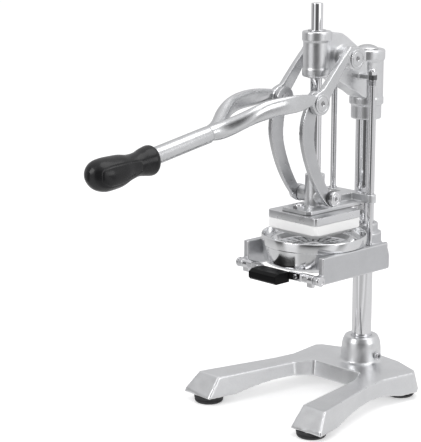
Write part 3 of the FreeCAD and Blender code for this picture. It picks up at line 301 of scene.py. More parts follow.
cast_satin = metal_finish(
    "cast_satin", (0.82, 0.825, 0.835), (0.74, 0.745, 0.755), 0.36, 0.05, 0.04, worn=0.6
)
base = worn_casting("base", "base_casting", 1.3, 7)
show(base, "frame", cast_satin, "cast_aluminium", "base_casting", sharp=180)


# Feet: four moulded rubber pads, each with a groove round it and a ring that stands on the
# table. They are pushed up into the underside of the legs' ends.
def bridge(shape, low, high):
    """Faces between two rings of corners, either of which may be a single point."""
    for i in range(len(low)):
        j = (i + 1) % len(low)
        corners = []
        for corner in (low[i], low[j], high[j], high[i]):
            if corner not in corners:
                corners.append(corner)
        if len(corners) > 2:
            shape.faces.new(corners)


def turned(name, outline, spots, way="z", steps=96):
    """Turned bodies from a half outline of (radius, height), one at each spot and direction."""
    directions = {"x": (1, 0, 0), "z": (0, 0, 1)}
    shape = bmesh.new()
    for spot in spots:
        aim = Vector(directions[way[-1]]) * (-1 if spot[0] < 0 and way == "outward x" else 1)
        place = Vector((0, spot[1], spot[2])) if way == "outward x" else Vector(spot)
        lean = Vector((0, 0, 1)).rotation_difference(aim)
        lay = Matrix.Translation(place) @ lean.to_matrix().to_4x4()
        rings = []
        for radius, height in outline:
            if radius < 1e-6:
                rings.append([shape.verts.new(lay @ Vector((0, 0, height)))] * steps)
                continue
            turns = [math.tau * i / steps for i in range(steps)]
            rings.append([
                shape.verts.new(lay @ Vector((radius * math.cos(t), radius * math.sin(t), height)))
                for t in turns
            ])
        pairs = list(zip(rings, rings[1:]))
        if outline[0][0] > 1e-6 and outline[-1][0] > 1e-6:
            pairs.append((rings[-1], rings[0]))
        for low, high in pairs:
            bridge(shape, low, high)
    return new_piece(name, shape)


def eased(outline, radius, steps=4):
    """An outline with its inner corners rounded; the first and last points stay."""
    done = [outline[0]]
    for before, here, after in zip(outline, outline[1:], outline[2:]):
        a, b, c = Vector(before), Vector(here), Vector(after)
        back, on = a - b, c - b
        ease = min(radius, back.length * 0.45, on.length * 0.45)
        if back.length < 1e-6 or on.length < 1e-6 or back.angle(on) > 3.1:
            done.append(here)
            continue
        start, stop = b + back.normalized() * ease, b + on.normalized() * ease
        for i in range(steps + 1):
            t = i / steps
            done.append(tuple(start * (1 - t) ** 2 + b * 2 * t * (1 - t) + stop * t ** 2))
    done.append(outline[-1])
    return done


def soft_finish(name, colour, rough, grain, speckle=0.15, level=0.5):
    """Plastic or rubber: one colour with faint mottling, uneven gloss and a moulded skin."""
    finish = bpy.data.materials.new(name)
    finish.use_nodes = True
    tree = finish.node_tree
    shader = tree.nodes["Principled BSDF"]
    shader.inputs["Specular IOR Level"].default_value = level
    coords = add_node(tree, "ShaderNodeTexCoord").outputs["Object"]
    tint = add_node(tree, "ShaderNodeMix", data_type="RGBA")
    tint.inputs[6].default_value = (*(c * (1 - speckle) for c in colour), 1)
    tint.inputs[7].default_value = (*colour, 1)
    tree.links.new(wobble(tree, coords, 60, 4, 0.0, 1.0), tint.inputs[0])
    tree.links.new(tint.outputs[2], shader.inputs["Base Color"])
    gloss = wobble(tree, coords, 130, 5, rough * 0.8, rough * 1.25)
    tree.links.new(gloss, shader.inputs["Roughness"])
    relief = add_node(tree, "ShaderNodeBump", {"Strength": grain, "Distance": 0.0002})
    tree.links.new(wobble(tree, coords, 1900, 2, 0.0, 1.0), relief.inputs["Height"])
    tree.links.new(relief.outputs[0], shader.inputs["Normal"])
    return finish


def middle(node):
    """The middle of one of the frame's nodes, in millimetres."""
    low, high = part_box(node)
    return [round(500 * (a + b), 1) for a, b in zip(low, high)]


COLUMN_Y = middle("column_tube")[1]
FRONT_FOOT, REAR_FOOT = (87, -186), (61.5, 5)
foot_rubber = soft_finish("foot_rubber", (0.025, 0.025, 0.027), 0.6, 0.3)
foot_outline = eased([
    (0, 0.8), (11.6, 0.8), (12.2, 0.02), (15.6, 0.02), (17.2, 1.2), (18.0, 3.4), (17.0, 4.0),
    (17.0, 4.8), (18.2, 5.4), (18.4, 7.6), (17.9, 8.9), (0, 8.9),
], 0.4, 2)
foot_spots = [
    (side * x, COLUMN_Y + y, 0) for side in (-1, 1) for x, y in (FRONT_FOOT, REAR_FOOT)
]
feet = turned("feet", foot_outline, foot_spots, steps=72)
show(feet, "frame", foot_rubber, "foot_rubber", "rubber_feet")

# Column: hard chromed steel tube, held in the base's socket and in the head's sleeve.
chrome = metal_finish(
    "column_chrome", (0.82, 0.82, 0.835), (0.78, 0.78, 0.795), 0.05, 0.015, 0.012,
    scratch=0.6, lie=(40, 40, 0.6),
)
column = turned("column", eased([(10, 16), (12.5, 16), (12.5, 431.6), (10, 431.6)], 0.8),
                [(0, COLUMN_Y, 0)], steps=128)
show(column, "frame", chrome, "column_chrome", "column_tube")


# Base screw: a cap screw with a hexagon socket, in the right of the socket, that clamps the
# column. Its tree is used again for the screws of the bracket, the head and the latch.
def part_tree(name, sizes):
    """A Geometry Nodes tree with a geometry input and output and its named sizes."""
    tree = bpy.data.node_groups.new(name, "GeometryNodeTree")
    tree.interface.new_socket("Geometry", in_out="INPUT", socket_type="NodeSocketGeometry")
    for label, kind in sizes:
        tree.interface.new_socket(label, in_out="INPUT", socket_type="NodeSocket" + kind)
    tree.interface.new_socket("Geometry", in_out="OUTPUT", socket_type="NodeSocketGeometry")
    return tree, tree.nodes.new("NodeGroupInput").outputs, tree.nodes.new("NodeGroupOutput")


def calc(tree, operation, first, second):
    """A sum in a tree, of sockets or numbers."""
    node = tree.nodes.new("ShaderNodeMath")
    node.operation = operation
    for slot, item in zip(node.inputs, (first, second)):
        if isinstance(item, (int, float)):
            slot.default_value = item
        else:
            tree.links.new(item, slot)
    return node.outputs[0]


def solid(tree, kind, vertices, sizes, rise=0.0, stretch=None):
    """A primitive in a tree, with named sizes, moved up by rise."""
    node = tree.nodes.new("GeometryNodeMesh" + kind)
    if kind != "UVSphere":
        node.inputs["Vertices"].default_value = vertices
    else:
        node.inputs["Segments"].default_value = vertices
        node.inputs["Rings"].default_value = vertices // 2
    for label, item in sizes.items():
        if isinstance(item, (int, float)):
            node.inputs[label].default_value = item
        else:
            tree.links.new(item, node.inputs[label])
    lift = tree.nodes.new("ShaderNodeCombineXYZ")
    if isinstance(rise, (int, float)):
        lift.inputs[2].default_value = rise
    else:
        tree.links.new(rise, lift.inputs[2])
    move = tree.nodes.new("GeometryNodeTransform")
    tree.links.new(node.outputs[0], move.inputs["Geometry"])
    tree.links.new(lift.outputs[0], move.inputs["Translation"])
    if stretch is not None:
        scale = tree.nodes.new("ShaderNodeCombineXYZ")
        scale.inputs[0].default_value = scale.inputs[1].default_value = 1.0
        tree.links.new(stretch, scale.inputs[2])
        tree.links.new(scale.outputs[0], move.inputs["Scale"])
    return move.outputs[0]


def shaped(tree, operation, first, second):
    """One solid cut by, or kept inside, another."""
    node = tree.nodes.new("GeometryNodeMeshBoolean")
    node.operation, node.solver = operation, "EXACT"
    if operation == "DIFFERENCE":
        tree.links.new(first, node.inputs["Mesh 1"])
    else:
        tree.links.new(first, node.inputs["Mesh 2"])
    tree.links.new(second, node.inputs["Mesh 2"])
    return node.outputs[0]


def joined(tree, *items):
    """Several solids as one geometry."""
    node = tree.nodes.new("GeometryNodeJoinGeometry")
    for item in items:
        tree.links.new(item, node.inputs[0])
    return node.outputs[0]


def on_points(tree, given, item, target):
    """Place a solid on every point of the input, then make it real and give it its finish."""
    spread = tree.nodes.new("GeometryNodeInstanceOnPoints")
    tree.links.new(given["Geometry"], spread.inputs["Points"])
    tree.links.new(item, spread.inputs["Instance"])
    tree.links.new(given["Lie"], spread.inputs["Rotation"])
    finish_up(tree, given, spread.outputs[0], target)


def finish_up(tree, given, item, target):
    """Make a geometry real, give it its finish and hand it out."""
    real = tree.nodes.new("GeometryNodeRealizeInstances")
    coat = tree.nodes.new("GeometryNodeSetMaterial")
    tree.links.new(item, real.inputs[0])
    tree.links.new(real.outputs[0], coat.inputs[0])
    tree.links.new(given["Finish"], coat.inputs["Material"])
    tree.links.new(coat.outputs[0], target.inputs[0])


def grow(piece, tree, **sizes):
    """Run a tree on a piece and leave a plain mesh."""
    grower = piece.modifiers.new("grow", "NODES")
    grower.node_group = tree
    for item in tree.interface.items_tree:
        key = item.name.replace(" ", "_").lower()
        if item.in_out == "INPUT" and key in sizes:
            grower[item.identifier] = sizes[key]
    return flat_copy(piece)


def points(name, spots):
    """An object of loose points given in millimetres."""
    shape = bmesh.new()
    for spot in spots:
        shape.verts.new(spot)
    return new_piece(name, shape)


cap_screws, given, target = part_tree("cap_screws", [
    ("Head radius", "Float"), ("Head height", "Float"), ("Socket", "Float"),
    ("Shank radius", "Float"), ("Shank length", "Float"), ("Lie", "Rotation"),
    ("Finish", "Material"),
])
tall, wide = given["Head height"], given["Head radius"]
drop = calc(cap_screws, "MULTIPLY", tall, -1)
head_bar = solid(cap_screws, "Cylinder", 48, {"Radius": wide, "Depth": tall},
                 calc(cap_screws, "MULTIPLY", tall, -0.5))
face = calc(cap_screws, "MULTIPLY", wide, 0.88)
bevel = solid(cap_screws, "Cone", 48, {
    "Radius Top": face, "Radius Bottom": calc(cap_screws, "ADD", face, tall), "Depth": tall,
}, drop)
hexagon = solid(cap_screws, "Cylinder", 6, {"Radius": given["Socket"], "Depth": tall})
head_done = shaped(cap_screws, "DIFFERENCE",
                   shaped(cap_screws, "INTERSECT", head_bar, bevel), hexagon)
long = given["Shank length"]
shank = solid(cap_screws, "Cylinder", 32, {"Radius": given["Shank radius"], "Depth": long},
              calc(cap_screws, "SUBTRACT", drop, calc(cap_screws, "MULTIPLY", long, 0.5)))
on_points(cap_screws, given, joined(cap_screws, head_done, shank), target)

screw_steel = metal_finish(
    "screw_steel", (0.60, 0.60, 0.615), (0.48, 0.48, 0.495), 0.28, 0.06, 0.08, worn=0.5
)
clamp_screw = {
    "head_radius": 0.0046, "head_height": 0.0045, "socket": 0.0024, "shank_radius": 0.003,
    "finish": screw_steel,
}
base_screw = grow(points("base_screw", [(30.1, COLUMN_Y, 44)]), cap_screws,
                  shank_length=0.0128, lie=(0, math.pi / 2, 0), **clamp_screw)
show(base_screw, "frame", screw_steel, "screw_steel", "base_clamp_screw", sharp=30)

# Bracket: one casting, clamped on the column, with two flat arms that carry the bowl. The
# arms' outer faces are left as cast and only lightly rubbed, so they shine less.
arm_satin = metal_finish(
    "arm_satin", (0.66, 0.665, 0.68), (0.60, 0.605, 0.62), 0.42, 0.05, 0.12, worn=0.8
)
bracket = worn_casting("bracket", "bracket_casting", 1.0, 3)
show(bracket, "frame", arm_satin, "cast_aluminium", "bracket_casting", sharp=180)

# Bracket screws: two cap screws that enter the clamp from behind.
bracket_screws = grow(
    points("bracket_screws", [(0, COLUMN_Y + 26.9, z) for z in (166, 192)]), cap_screws,
    shank_length=0.0096, lie=(-math.pi / 2, 0, 0), **clamp_screw)
show(bracket_screws, "frame", screw_steel, "screw_steel", "bracket_clamp_screws", sharp=30)

# Head: one casting, a sleeve on the column, a web with its gusset, the shaft's boss, the
# cross boss for the lever's pivot, and the lugs that hold the guide rods.
head = worn_casting("head", "head_casting", 0.9, 4)
show(head, "frame", cast_satin, "cast_aluminium", "head_casting", sharp=180)

# Head screws: two cap screws that enter the sleeve from behind.
head_screws = grow(
    points("head_screws", [(0, COLUMN_Y + 25, z) for z in (384, 408)]), cap_screws,
    shank_length=0.0077, lie=(-math.pi / 2, 0, 0), **clamp_screw)
show(head_screws, "frame", screw_steel, "screw_steel", "head_clamp_screws", sharp=30)

# Column cap: a turned and polished plug with a domed top, pressed into the column.
lever_polish = metal_finish(
    "lever_polish", (0.72, 0.725, 0.735), (0.63, 0.635, 0.645), 0.24, 0.05, 0.05,
    scratch=0.5, lie=(1, 0.2, 1), worn=0.6,
)
CAP_MID, CAP_R = 413.5, 24
dome_line = [
    (r, CAP_MID + math.sqrt(CAP_R ** 2 - r * r)) for r in (13.6, 12, 10, 8, 6, 4, 2)
]
cap = turned("column_cap_dome", [(0, 420.2), (9.3, 420.2), (9.9, 420.8), (9.9, 432.1),
                                 (13.4, 432.1), (14, 432.5)] + dome_line + [(0, 437.45)],
             [(0, COLUMN_Y, 0)])
show(cap, "frame", lever_polish, "cast_aluminium", "column_cap")

# Shaft bushes: two flanged steel sleeves, pressed into the ends of the boss.
PRESS_Y = middle("press_shaft")[1]
bush_high = turned("shaft_bush_high", eased([
    (7.12, 443.1), (8.4, 443.1), (8.4, 461.05), (10.9, 461.05), (10.9, 462.35), (7.12, 462.35),
], 0.35), [(0, PRESS_Y, 0)])
bush_low = turned("shaft_bush_low", eased([
    (7.12, 405.15), (10.9, 405.15), (10.9, 406.45), (8.4, 406.45), (8.4, 424.4), (7.12, 424.4),
], 0.35), [(0, PRESS_Y, 0)])
show(bush_high, "frame", screw_steel, "screw_steel", "shaft_bushes")
show(bush_low, "frame", screw_steel, "screw_steel", "shaft_bushes")

# Guide rods: two plated rods from the bracket's web up to the head's lugs. They keep the
# press head from turning.
ROD_X, ROD_Y = 30.8, middle("guide_rods")[1]
rod_spots = [(-ROD_X, ROD_Y, 0), (ROD_X, ROD_Y, 0)]
rod_chrome = metal_finish(
    "rod_chrome", (0.79, 0.79, 0.805), (0.73, 0.73, 0.745), 0.10, 0.03, 0.03,
    scratch=0.6, lie=(40, 40, 0.6), worn=0.3,
)
rods = turned("rods", eased([(0, 175.1), (3.7, 175.1), (3.7, 408.6), (0, 408.6)], 0.6),
              rod_spots, steps=64)
show(rods, "frame", rod_chrome, "rod_chrome", "guide_rods")

# Rod cap nuts: plated acorn nuts on top of the lugs. Their tree is used again on the plate.
acorn_nuts, given, target = part_tree("acorn_nuts", [
    ("Corner radius", "Float"), ("Height", "Float"), ("Lie", "Rotation"), ("Finish", "Material"),
])
corner, tall = given["Corner radius"], given["Height"]
flats = calc(acorn_nuts, "MULTIPLY", tall, 0.55)
face = calc(acorn_nuts, "MULTIPLY", corner, 0.88)
hexagon = solid(acorn_nuts, "Cylinder", 6, {"Radius": corner, "Depth": flats},
                calc(acorn_nuts, "MULTIPLY", flats, 0.5))
bevel = solid(acorn_nuts, "Cone", 48, {
    "Radius Top": face, "Depth": flats,
    "Radius Bottom": calc(acorn_nuts, "ADD", face, calc(acorn_nuts, "MULTIPLY", flats, 1.2)),
})
ball_r = calc(acorn_nuts, "MULTIPLY", corner, 0.80)
rest = calc(acorn_nuts, "SUBTRACT", tall, flats)
ball = solid(acorn_nuts, "UVSphere", 32, {"Radius": ball_r}, flats,
             calc(acorn_nuts, "DIVIDE", rest, ball_r))
on_points(acorn_nuts, given, joined(
    acorn_nuts, shaped(acorn_nuts, "INTERSECT", hexagon, bevel), ball), target)

rod_nuts = grow(points("rod_nuts", [(x, y, 405.02) for x, y, _ in rod_spots]), acorn_nuts,
                corner_radius=0.0054, height=0.0079, lie=(0, 0, 0), finish=rod_chrome)
show(rod_nuts, "frame", rod_chrome, "rod_chrome", "guide_rod_cap_nuts", sharp=30)

# Rod collars: under each lug a plain washer on the rod's threaded length, and round the
# lug's end a black band.
# Black metal finish: the black washers use it, and so do the black strip and discs of painted
# shade.
black_steel = metal_finish(
    "black_steel", (0.10, 0.10, 0.105), (0.05, 0.05, 0.052), 0.38, 0.08, 0.2, worn=0.3
)
ROOT_R, CREST_R, THREAD_LOW, PITCH = 4.0, 4.35, 391.5, 0.83
threads = [(3.75, THREAD_LOW)]
for turn in range(7):
    low = THREAD_LOW + turn * PITCH
    threads += [
        (ROOT_R, low), (CREST_R, low + 0.3), (CREST_R, low + 0.45), (ROOT_R, low + 0.75)
    ]
threads += [(3.75, 397.35)]
rod_threads = turned("rod_threads", threads, rod_spots, steps=48)
show(rod_threads, "frame", screw_steel, "screw_steel", "guide_rod_collars")
rod_washers = turned("rod_washers", eased([
    (3.75, 397.45), (4.85, 397.45), (4.85, 398.95), (3.75, 398.95),
], 0.3), rod_spots, steps=64)
show(rod_washers, "frame", screw_steel, "screw_steel", "guide_rod_collars")
rod_bands = turned("rod_bands", eased([
    (4.2, 399.1), (5.35, 399.1), (5.35, 404.95), (4.2, 404.95),
], 0.3), rod_spots, steps=64)
show(rod_bands, "frame", black_steel, "black_steel", "head_casting")


# Bowl: spun stainless steel with a rolled rim, a band that rests on the bracket's arms, a
# steep side and a shallow cone for a bottom, drawn down to the spout. Polished all over.
def arc(start, stop, radius, steps=16):
    """Points on an arc between two points, bulging to the right of the way for radius > 0."""
    a, b = Vector(start), Vector(stop)
    half = (b - a) / 2
    side = Vector((-half.y, half.x)).normalized() * math.sqrt(radius ** 2 - half.length_squared)
    centre = a + half + (side if radius > 0 else -side)
    first = math.atan2(a.y - centre.y, a.x - centre.x)
    last = math.atan2(b.y - centre.y, b.x - centre.x)
    spread = (last - first + math.pi) % math.tau - math.pi
    return [(centre.x + abs(radius) * math.cos(first + spread * i / steps),
             centre.y + abs(radius) * math.sin(first + spread * i / steps))
            for i in range(1, steps)]


bowl_steel = metal_finish(
    "bowl_steel", (0.80, 0.805, 0.815), (0.74, 0.745, 0.755), 0.13, 0.04, 0.03,
    scratch=0.7, lie=(0.4, 0.4, 60), worn=0.3,
)
inside = [(9.3, 166.3), (9.3, 173.0), (19, 176.6), (56.2, 181.2)]
inside += arc((56.2, 181.2), (59.2, 184.2), 3.2, 6) + [(59.2, 184.2), (61.4, 204.0), (61.8, 204.8)]
rim = [(62.2, 204.8), (62.7, 205.4), (62.7, 213.6), (62.9, 214.5), (63.4, 214.95),
       (63.9, 214.8), (64.3, 214.1), (64.4, 213.0), (64.4, 204.2), (64.1, 203.3), (63.7, 203.05)]
outside = [(63.3, 203.0), (63.15, 202.4), (61.1, 184.0)]
outside += arc((61.1, 184.0), (56.8, 179.4), -4.8, 6) + [(56.8, 179.4), (20, 174.7)]
outside += [(11.6, 172.2), (10.95, 171.3), (10.95, 167.0), (10.5, 166.1), (9.8, 166.05)]
bowl = turned("bowl_shell", inside + rim + outside, [(0, PRESS_Y, 0)], steps=160)
show(bowl, "frame", bowl_steel, "bowl_steel", "bowl", sharp=50)

# Strainer: pressed stainless disc that hangs in the bowl by its rim, with a raised middle
# and three rows of radial slots cut through it by its own tree.
slots, given, target = part_tree("strainer_slots", [
    ("Count", "Int"), ("First radius", "Float"), ("Row step", "Float"), ("Slot size", "Vector"),
    ("Centre", "Vector"), ("Finish", "Material"),
])
rows = []
for row in range(3):
    ring = slots.nodes.new("GeometryNodeMeshCircle")
    slots.links.new(given["Count"], ring.inputs["Vertices"])
    slots.links.new(calc(slots, "ADD", given["First radius"],
                         calc(slots, "MULTIPLY", given["Row step"], row)), ring.inputs["Radius"])
    cutter = slots.nodes.new("GeometryNodeMeshCube")
    slots.links.new(given["Slot size"], cutter.inputs["Size"])
    lay = slots.nodes.new("FunctionNodeAlignRotationToVector")
    lay.axis = "X"
    slots.links.new(slots.nodes.new("GeometryNodeInputPosition").outputs[0], lay.inputs["Vector"])
    spread = slots.nodes.new("GeometryNodeInstanceOnPoints")
    slots.links.new(ring.outputs[0], spread.inputs["Points"])
    slots.links.new(cutter.outputs[0], spread.inputs["Instance"])
    slots.links.new(lay.outputs[0], spread.inputs["Rotation"])
    rows.append(spread.outputs[0])
cutters = slots.nodes.new("GeometryNodeRealizeInstances")
slots.links.new(joined(slots, *rows), cutters.inputs[0])
placed = slots.nodes.new("GeometryNodeTransform")
slots.links.new(cutters.outputs[0], placed.inputs["Geometry"])
slots.links.new(given["Centre"], placed.inputs["Translation"])
finish_up(slots, given, shaped(slots, "DIFFERENCE", given["Geometry"], placed.outputs[0]), target)

strainer = turned("strainer_disc", eased([
    (0, 199.9), (20, 197.9), (49.3, 197.9), (52.9, 204.9), (62.3, 204.9), (62.3, 206.0),
    (52.2, 206.0), (48.5, 199.0), (20, 199.0), (0, 203.2),
], 1.0), [(0, PRESS_Y, 0)], steps=96)
grow(strainer, slots, count=24, first_radius=0.025, row_step=0.009,
     slot_size=(0.0068, 0.0018, 0.02), centre=(0, PRESS_Y / 1000, 0.1985), finish=bowl_steel)
show(strainer, "frame", bowl_steel, "bowl_steel", "strainer", sharp=30)

# Latch pins: plated pins with a flat head, pressed into the ends of the bracket's arms.
HINGE = middle("latch_pins")[1:]
latch_pins = turned("latch_pin_pair", eased([
    (0, 38.4), (3, 38.4), (3, 66.35), (5.9, 66.35), (5.9, 68.7), (3.4, 68.7), (3.1, 68.2),
    (0, 68.2),
], 0.5), [(-1, *HINGE), (1, *HINGE)], "outward x", 64)
show(latch_pins, "frame", rod_chrome, "rod_chrome", "latch_pins")

# Lever: one polished casting. A handle tube widens into a fork, whose two arms pass the
# links' pivots and rise to the eyes that turn on the head.
lever = worn_casting("lever", "lever_casting", 0.85, 5)
show(lever, "lever", lever_polish, "polished_aluminium", "lever_casting", sharp=180)

# Lever grip: black moulding pushed on the handle's end, with a flared collar, a waist and a
# bulb. A fine line is sunk into both of its sides. Its stations give the distance from the
# column, the height and the radius.
grip_gloss = soft_finish("grip_gloss", (0.010, 0.010, 0.011), 0.24, 0.03, level=0.35)
grip_line = [
    (-355.5, 341, 10), (-355.5, 340.5, 13.5), (-356.5, 339.5, 16), (-360.5, 339.5, 17),
    (-369, 339, 15.5), (-379, 337.5, 13.5), (-391, 335.5, 14.5), (-403, 334, 17.5),
    (-414.5, 333, 18.5), (-426.5, 332.5, 18.5), (-436.5, 333, 16), (-443, 333.5, 11),
    (-446.5, 333.5, 5.5),
]
LINE_MID, LINE_LONG, LINE_TALL, LINE_DEEP, LINE_WIDE = -409, 29.0, 0.60, 0.5, 0.55
shape = bmesh.new()
steps, fine, rings = 176, 14, []
for k in range((len(grip_line) - 1) * fine + 1):
    here, part = divmod(k, fine)
    t = part / fine
    knots = [Vector(grip_line[min(max(here + d, 0), len(grip_line) - 1)]) for d in (-1, 0, 1, 2)]
    spot = 0.5 * (2 * knots[1] + (knots[2] - knots[0]) * t
                  + (2 * knots[0] - 5 * knots[1] + 4 * knots[2] - knots[3]) * t ** 2
                  + (3 * knots[1] - knots[0] - 3 * knots[2] + knots[3]) * t ** 3)
    along, high, radius = spot
    rings.append([])
    for i in range(steps):
        angle = math.tau * i / steps
        u, v = abs(along - LINE_MID) / LINE_LONG, abs(math.sin(angle)) / LINE_TALL
        size = max((u ** 4 + v ** 4) ** 0.25, 1e-4)
        slope = math.hypot(u ** 3 / LINE_LONG, v ** 3 / (LINE_TALL * radius)) / size ** 3
        sunk = LINE_DEEP * math.exp(-((size - 1) / max(slope, 1e-3) / LINE_WIDE) ** 2)
        bulk = radius - sunk
        rings[-1].append(shape.verts.new(
            (bulk * math.cos(angle), COLUMN_Y + along, high + bulk * math.sin(angle))
        ))
for low, up in zip(rings, rings[1:]):
    bridge(shape, low, up)
for ring in (rings[0], rings[-1]):
    tip = shape.verts.new(sum((v.co for v in ring), Vector()) / steps)
    bridge(shape, ring, [tip] * steps)
grip = new_piece("grip", shape)
show(grip, "lever", grip_gloss, "grip_plastic", "lever_grip", sharp=60)

# Lever pivot: a ground steel pin through the head's cross boss, fixed in both eyes.
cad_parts["lever_pivot_pin"].material_slots[0].material = screw_steel

# Lever pivot caps: on the right a thin turned cap, on the left a longer round nut. Both have
# a ring turned into their face and a small socket in the middle.
PIVOT_A = middle("lever_pivot_pin")[1:]
thin_cap = eased([
    (0, 37.02), (11.5, 37.02), (11.5, 38.35), (9.5, 38.35), (9.2, 37.9), (8.5, 37.9), (8.2, 38.35),
    (3.2, 38.35), (2.7, 37.4), (0, 37.4),
], 0.3, 3)
pivot_cap = turned("lever_pivot_cap_right", thin_cap, [(1, *PIVOT_A)], "outward x")
pivot_nut = turned("lever_pivot_nut_left", eased([
    (0, 37.02), (10.6, 37.02), (11.45, 37.9), (11.45, 44.2), (10.4, 45.45), (8.4, 45.45),
    (8.0, 44.9), (7.3, 44.9), (6.9, 45.45), (3.0, 45.45), (2.6, 44.2), (0, 44.2),
], 0.4, 3), [(-1, *PIVOT_A)], "outward x")
for cap in (pivot_cap, pivot_nut):
    show(cap, "lever", lever_polish, "polished_aluminium", "lever_pivot_caps")

# The right cap's socket is painted shade: a black hexagon laid in the shallow recess of its face,
# for the socket's dark depth.
socket_shade_outline = [(0, 37.45), (2.5, 37.45), (2.5, 37.75), (0, 37.6)]
pivot_socket_shade = turned("pivot_cap_socket", socket_shade_outline, [(1, *PIVOT_A)], "outward x", 6)
show(pivot_socket_shade, "lever", black_steel, "black_steel", "lever_pivot_caps")

# Link pins: two ground steel pins fixed in the lever's lower eyes, on which the links turn.
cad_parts["link_upper_pins"].material_slots[0].material = screw_steel

# Link pin caps: thin turned caps on the outer ends of the link pins.
PIVOT_B = middle("link_upper_pins")[1:]
link_caps = turned("link_pin_caps", thin_cap, [(-1, *PIVOT_B), (1, *PIVOT_B)], "outward x")
show(link_caps, "lever", lever_polish, "polished_aluminium", "link_upper_caps")
# Painted shade: a black hexagon in each cap's recess stands for the socket's dark depth.
link_socket_shade = turned("link_cap_sockets", socket_shade_outline, [(-1, *PIVOT_B), (1, *PIVOT_B)],
                      "outward x", 6)
show(link_socket_shade, "lever", black_steel, "black_steel", "link_upper_caps")

# Bow links: two flat cast bars that bulge forward, with an eye at each end. They are only
# tumbled, not polished, so they look greyer than the lever.
link_satin = metal_finish(
    "link_satin", (0.62, 0.625, 0.635), (0.54, 0.545, 0.555), 0.32, 0.05, 0.05, worn=0.8
)
for side in ("left", "right"):
    link = worn_casting("link_bar_" + side, "bow_link_" + side, 0.6, 3)
    show(link, "bow_links", link_satin, "cast_aluminium", "bow_link_" + side, sharp=180)

# Lower link studs: steel studs fixed in the links' lower eyes.
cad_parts["link_lower_studs"].material_slots[0].material = screw_steel

# Lower link washers: blackened, between each link and its nut.
PIVOT_C = middle("link_lower_studs")[1:]
sides = [(-1, *PIVOT_C), (1, *PIVOT_C)]
link_washers = turned("link_washers", eased([
    (5.05, 28.45), (9.9, 28.45), (9.9, 29.95), (5.05, 29.95),
], 0.3), sides, "outward x")
show(link_washers, "bow_links", black_steel, "black_steel", "link_lower_washers")

# Lower link nuts: round plated nuts with a ring and a small socket in the face.
link_nuts = turned("link_nuts", eased([
    (0, 33.5), (5.0, 33.5), (5.05, 30.05), (8.2, 30.05), (8.95, 30.8), (8.95, 34.4), (8.0, 35.35),
    (6.5, 35.35), (6.2, 34.9), (5.4, 34.9), (5.1, 35.35), (2.6, 35.35), (2.2, 34.2), (0, 34.2),
], 0.3, 3), sides, "outward x")
show(link_nuts, "bow_links", rod_chrome, "rod_chrome", "link_lower_nuts")
# Painted shade: a black hexagon in each nut's recess stands for the socket's dark depth.
nut_socket_shade = turned("link_nut_sockets", [(0, 34.25), (2.1, 34.25), (2.1, 34.6), (0, 34.5)],
                     sides, "outward x", 6)
show(nut_socket_shade, "bow_links", black_steel, "black_steel", "link_lower_nuts")

# Press head: one casting, a post with a cross boss for the links, a foot plate, and the bar
# that reaches back to the guide rods.
press_head = worn_casting("press_head_body", "press_head_casting", 0.65, 2)
show(press_head, "press_head", cast_satin, "cast_aluminium", "press_head_casting", sharp=180)


# Foot shadow strip: a thin black strip of painted shadow that shows all round between the foot and
# the plate, where the gap between them lies in shade. It stands out a little from the foot's own
# outline, whose front corners are cut off.
def slab(name, line, bottom, top):
    """A flat block from its corners about the press axis, between two heights."""
    shape = bmesh.new()
    low, high = [
        [shape.verts.new((x, PRESS_Y + y, z)) for x, y in line] for z in (bottom, top)
    ]
    shape.faces.new(low)
    shape.faces.new(high)
    bridge(shape, low, high)
    return new_piece(name, shape)


FOOT_HALF, FOOT_FRONT, FOOT_REAR, FOOT_CORNER = 24, -36, 59.6, 5
SHADOW_STRIP_LIP = 0.15
foot_line = [
    (FOOT_HALF - FOOT_CORNER, FOOT_FRONT), (FOOT_HALF, FOOT_FRONT + FOOT_CORNER),
    (FOOT_HALF, FOOT_REAR),
]
foot_line = [(-foot_line[0][0], FOOT_FRONT)] + foot_line + [(-x, y) for x, y in foot_line[:0:-1]]
# Painted shadow: a black slab standing in for the shaded gap under the foot.
shadow_strip = slab("foot_gasket", [
    (x * 1.006, y + math.copysign(SHADOW_STRIP_LIP, y)) for x, y in foot_line
], 244.22, 245.1)
show(shadow_strip, "press_head", black_steel, "black_steel", "press_head_casting")

# Press shaft: a chromed bar fixed in the post, which slides in the head's boss.
shaft = turned("shaft", eased([(0, 247.8), (7.03, 247.8), (7.03, 493.9), (0, 493.9)], 1.0),
               [(0, PRESS_Y, 0)])
show(shaft, "press_head", chrome, "column_chrome", "press_shaft")

# Crossbar bushes: steel sleeves at the ends of the crossbar, running on the guide rods.
bar_bushes = turned("bar_bushes", eased([
    (3.78, 247.45), (4.95, 247.45), (4.95, 258.85), (3.78, 258.85),
], 0.4), rod_spots, steps=64)
show(bar_bushes, "press_head", screw_steel, "screw_steel", "crossbar_bushes")


# Press plate: a square of machined aluminium plate with rounded corners, under the foot.
def rounded_square(half, radius, steps=8):
    """Corners of a square about the press axis, with rounded corners."""
    line = []
    for quarter in range(4):
        turn = math.pi / 2 * quarter
        mid = Vector((half - radius, half - radius))
        mid.rotate(Matrix.Rotation(turn, 2))
        for i in range(steps + 1):
            angle = turn + math.pi / 2 * i / steps
            line.append((mid.x + radius * math.cos(angle), mid.y + radius * math.sin(angle)))
    return line


machined = metal_finish(
    "machined_plate", (0.72, 0.725, 0.74), (0.64, 0.645, 0.66), 0.36, 0.05, 0.16,
    scratch=0.8, lie=(0.5, 0.5, 70), worn=0.6,
)
plate = slab("plate", rounded_square(40.55, 4.5), 234.65, 244.15)
rounding = plate.modifiers.new("edge", "BEVEL")
rounding.width, rounding.segments, rounding.limit_method = 0.0009, 3, "ANGLE"
flat_copy(plate)
show(plate, "press_head", machined, "machined_aluminium", "press_plate", sharp=50)

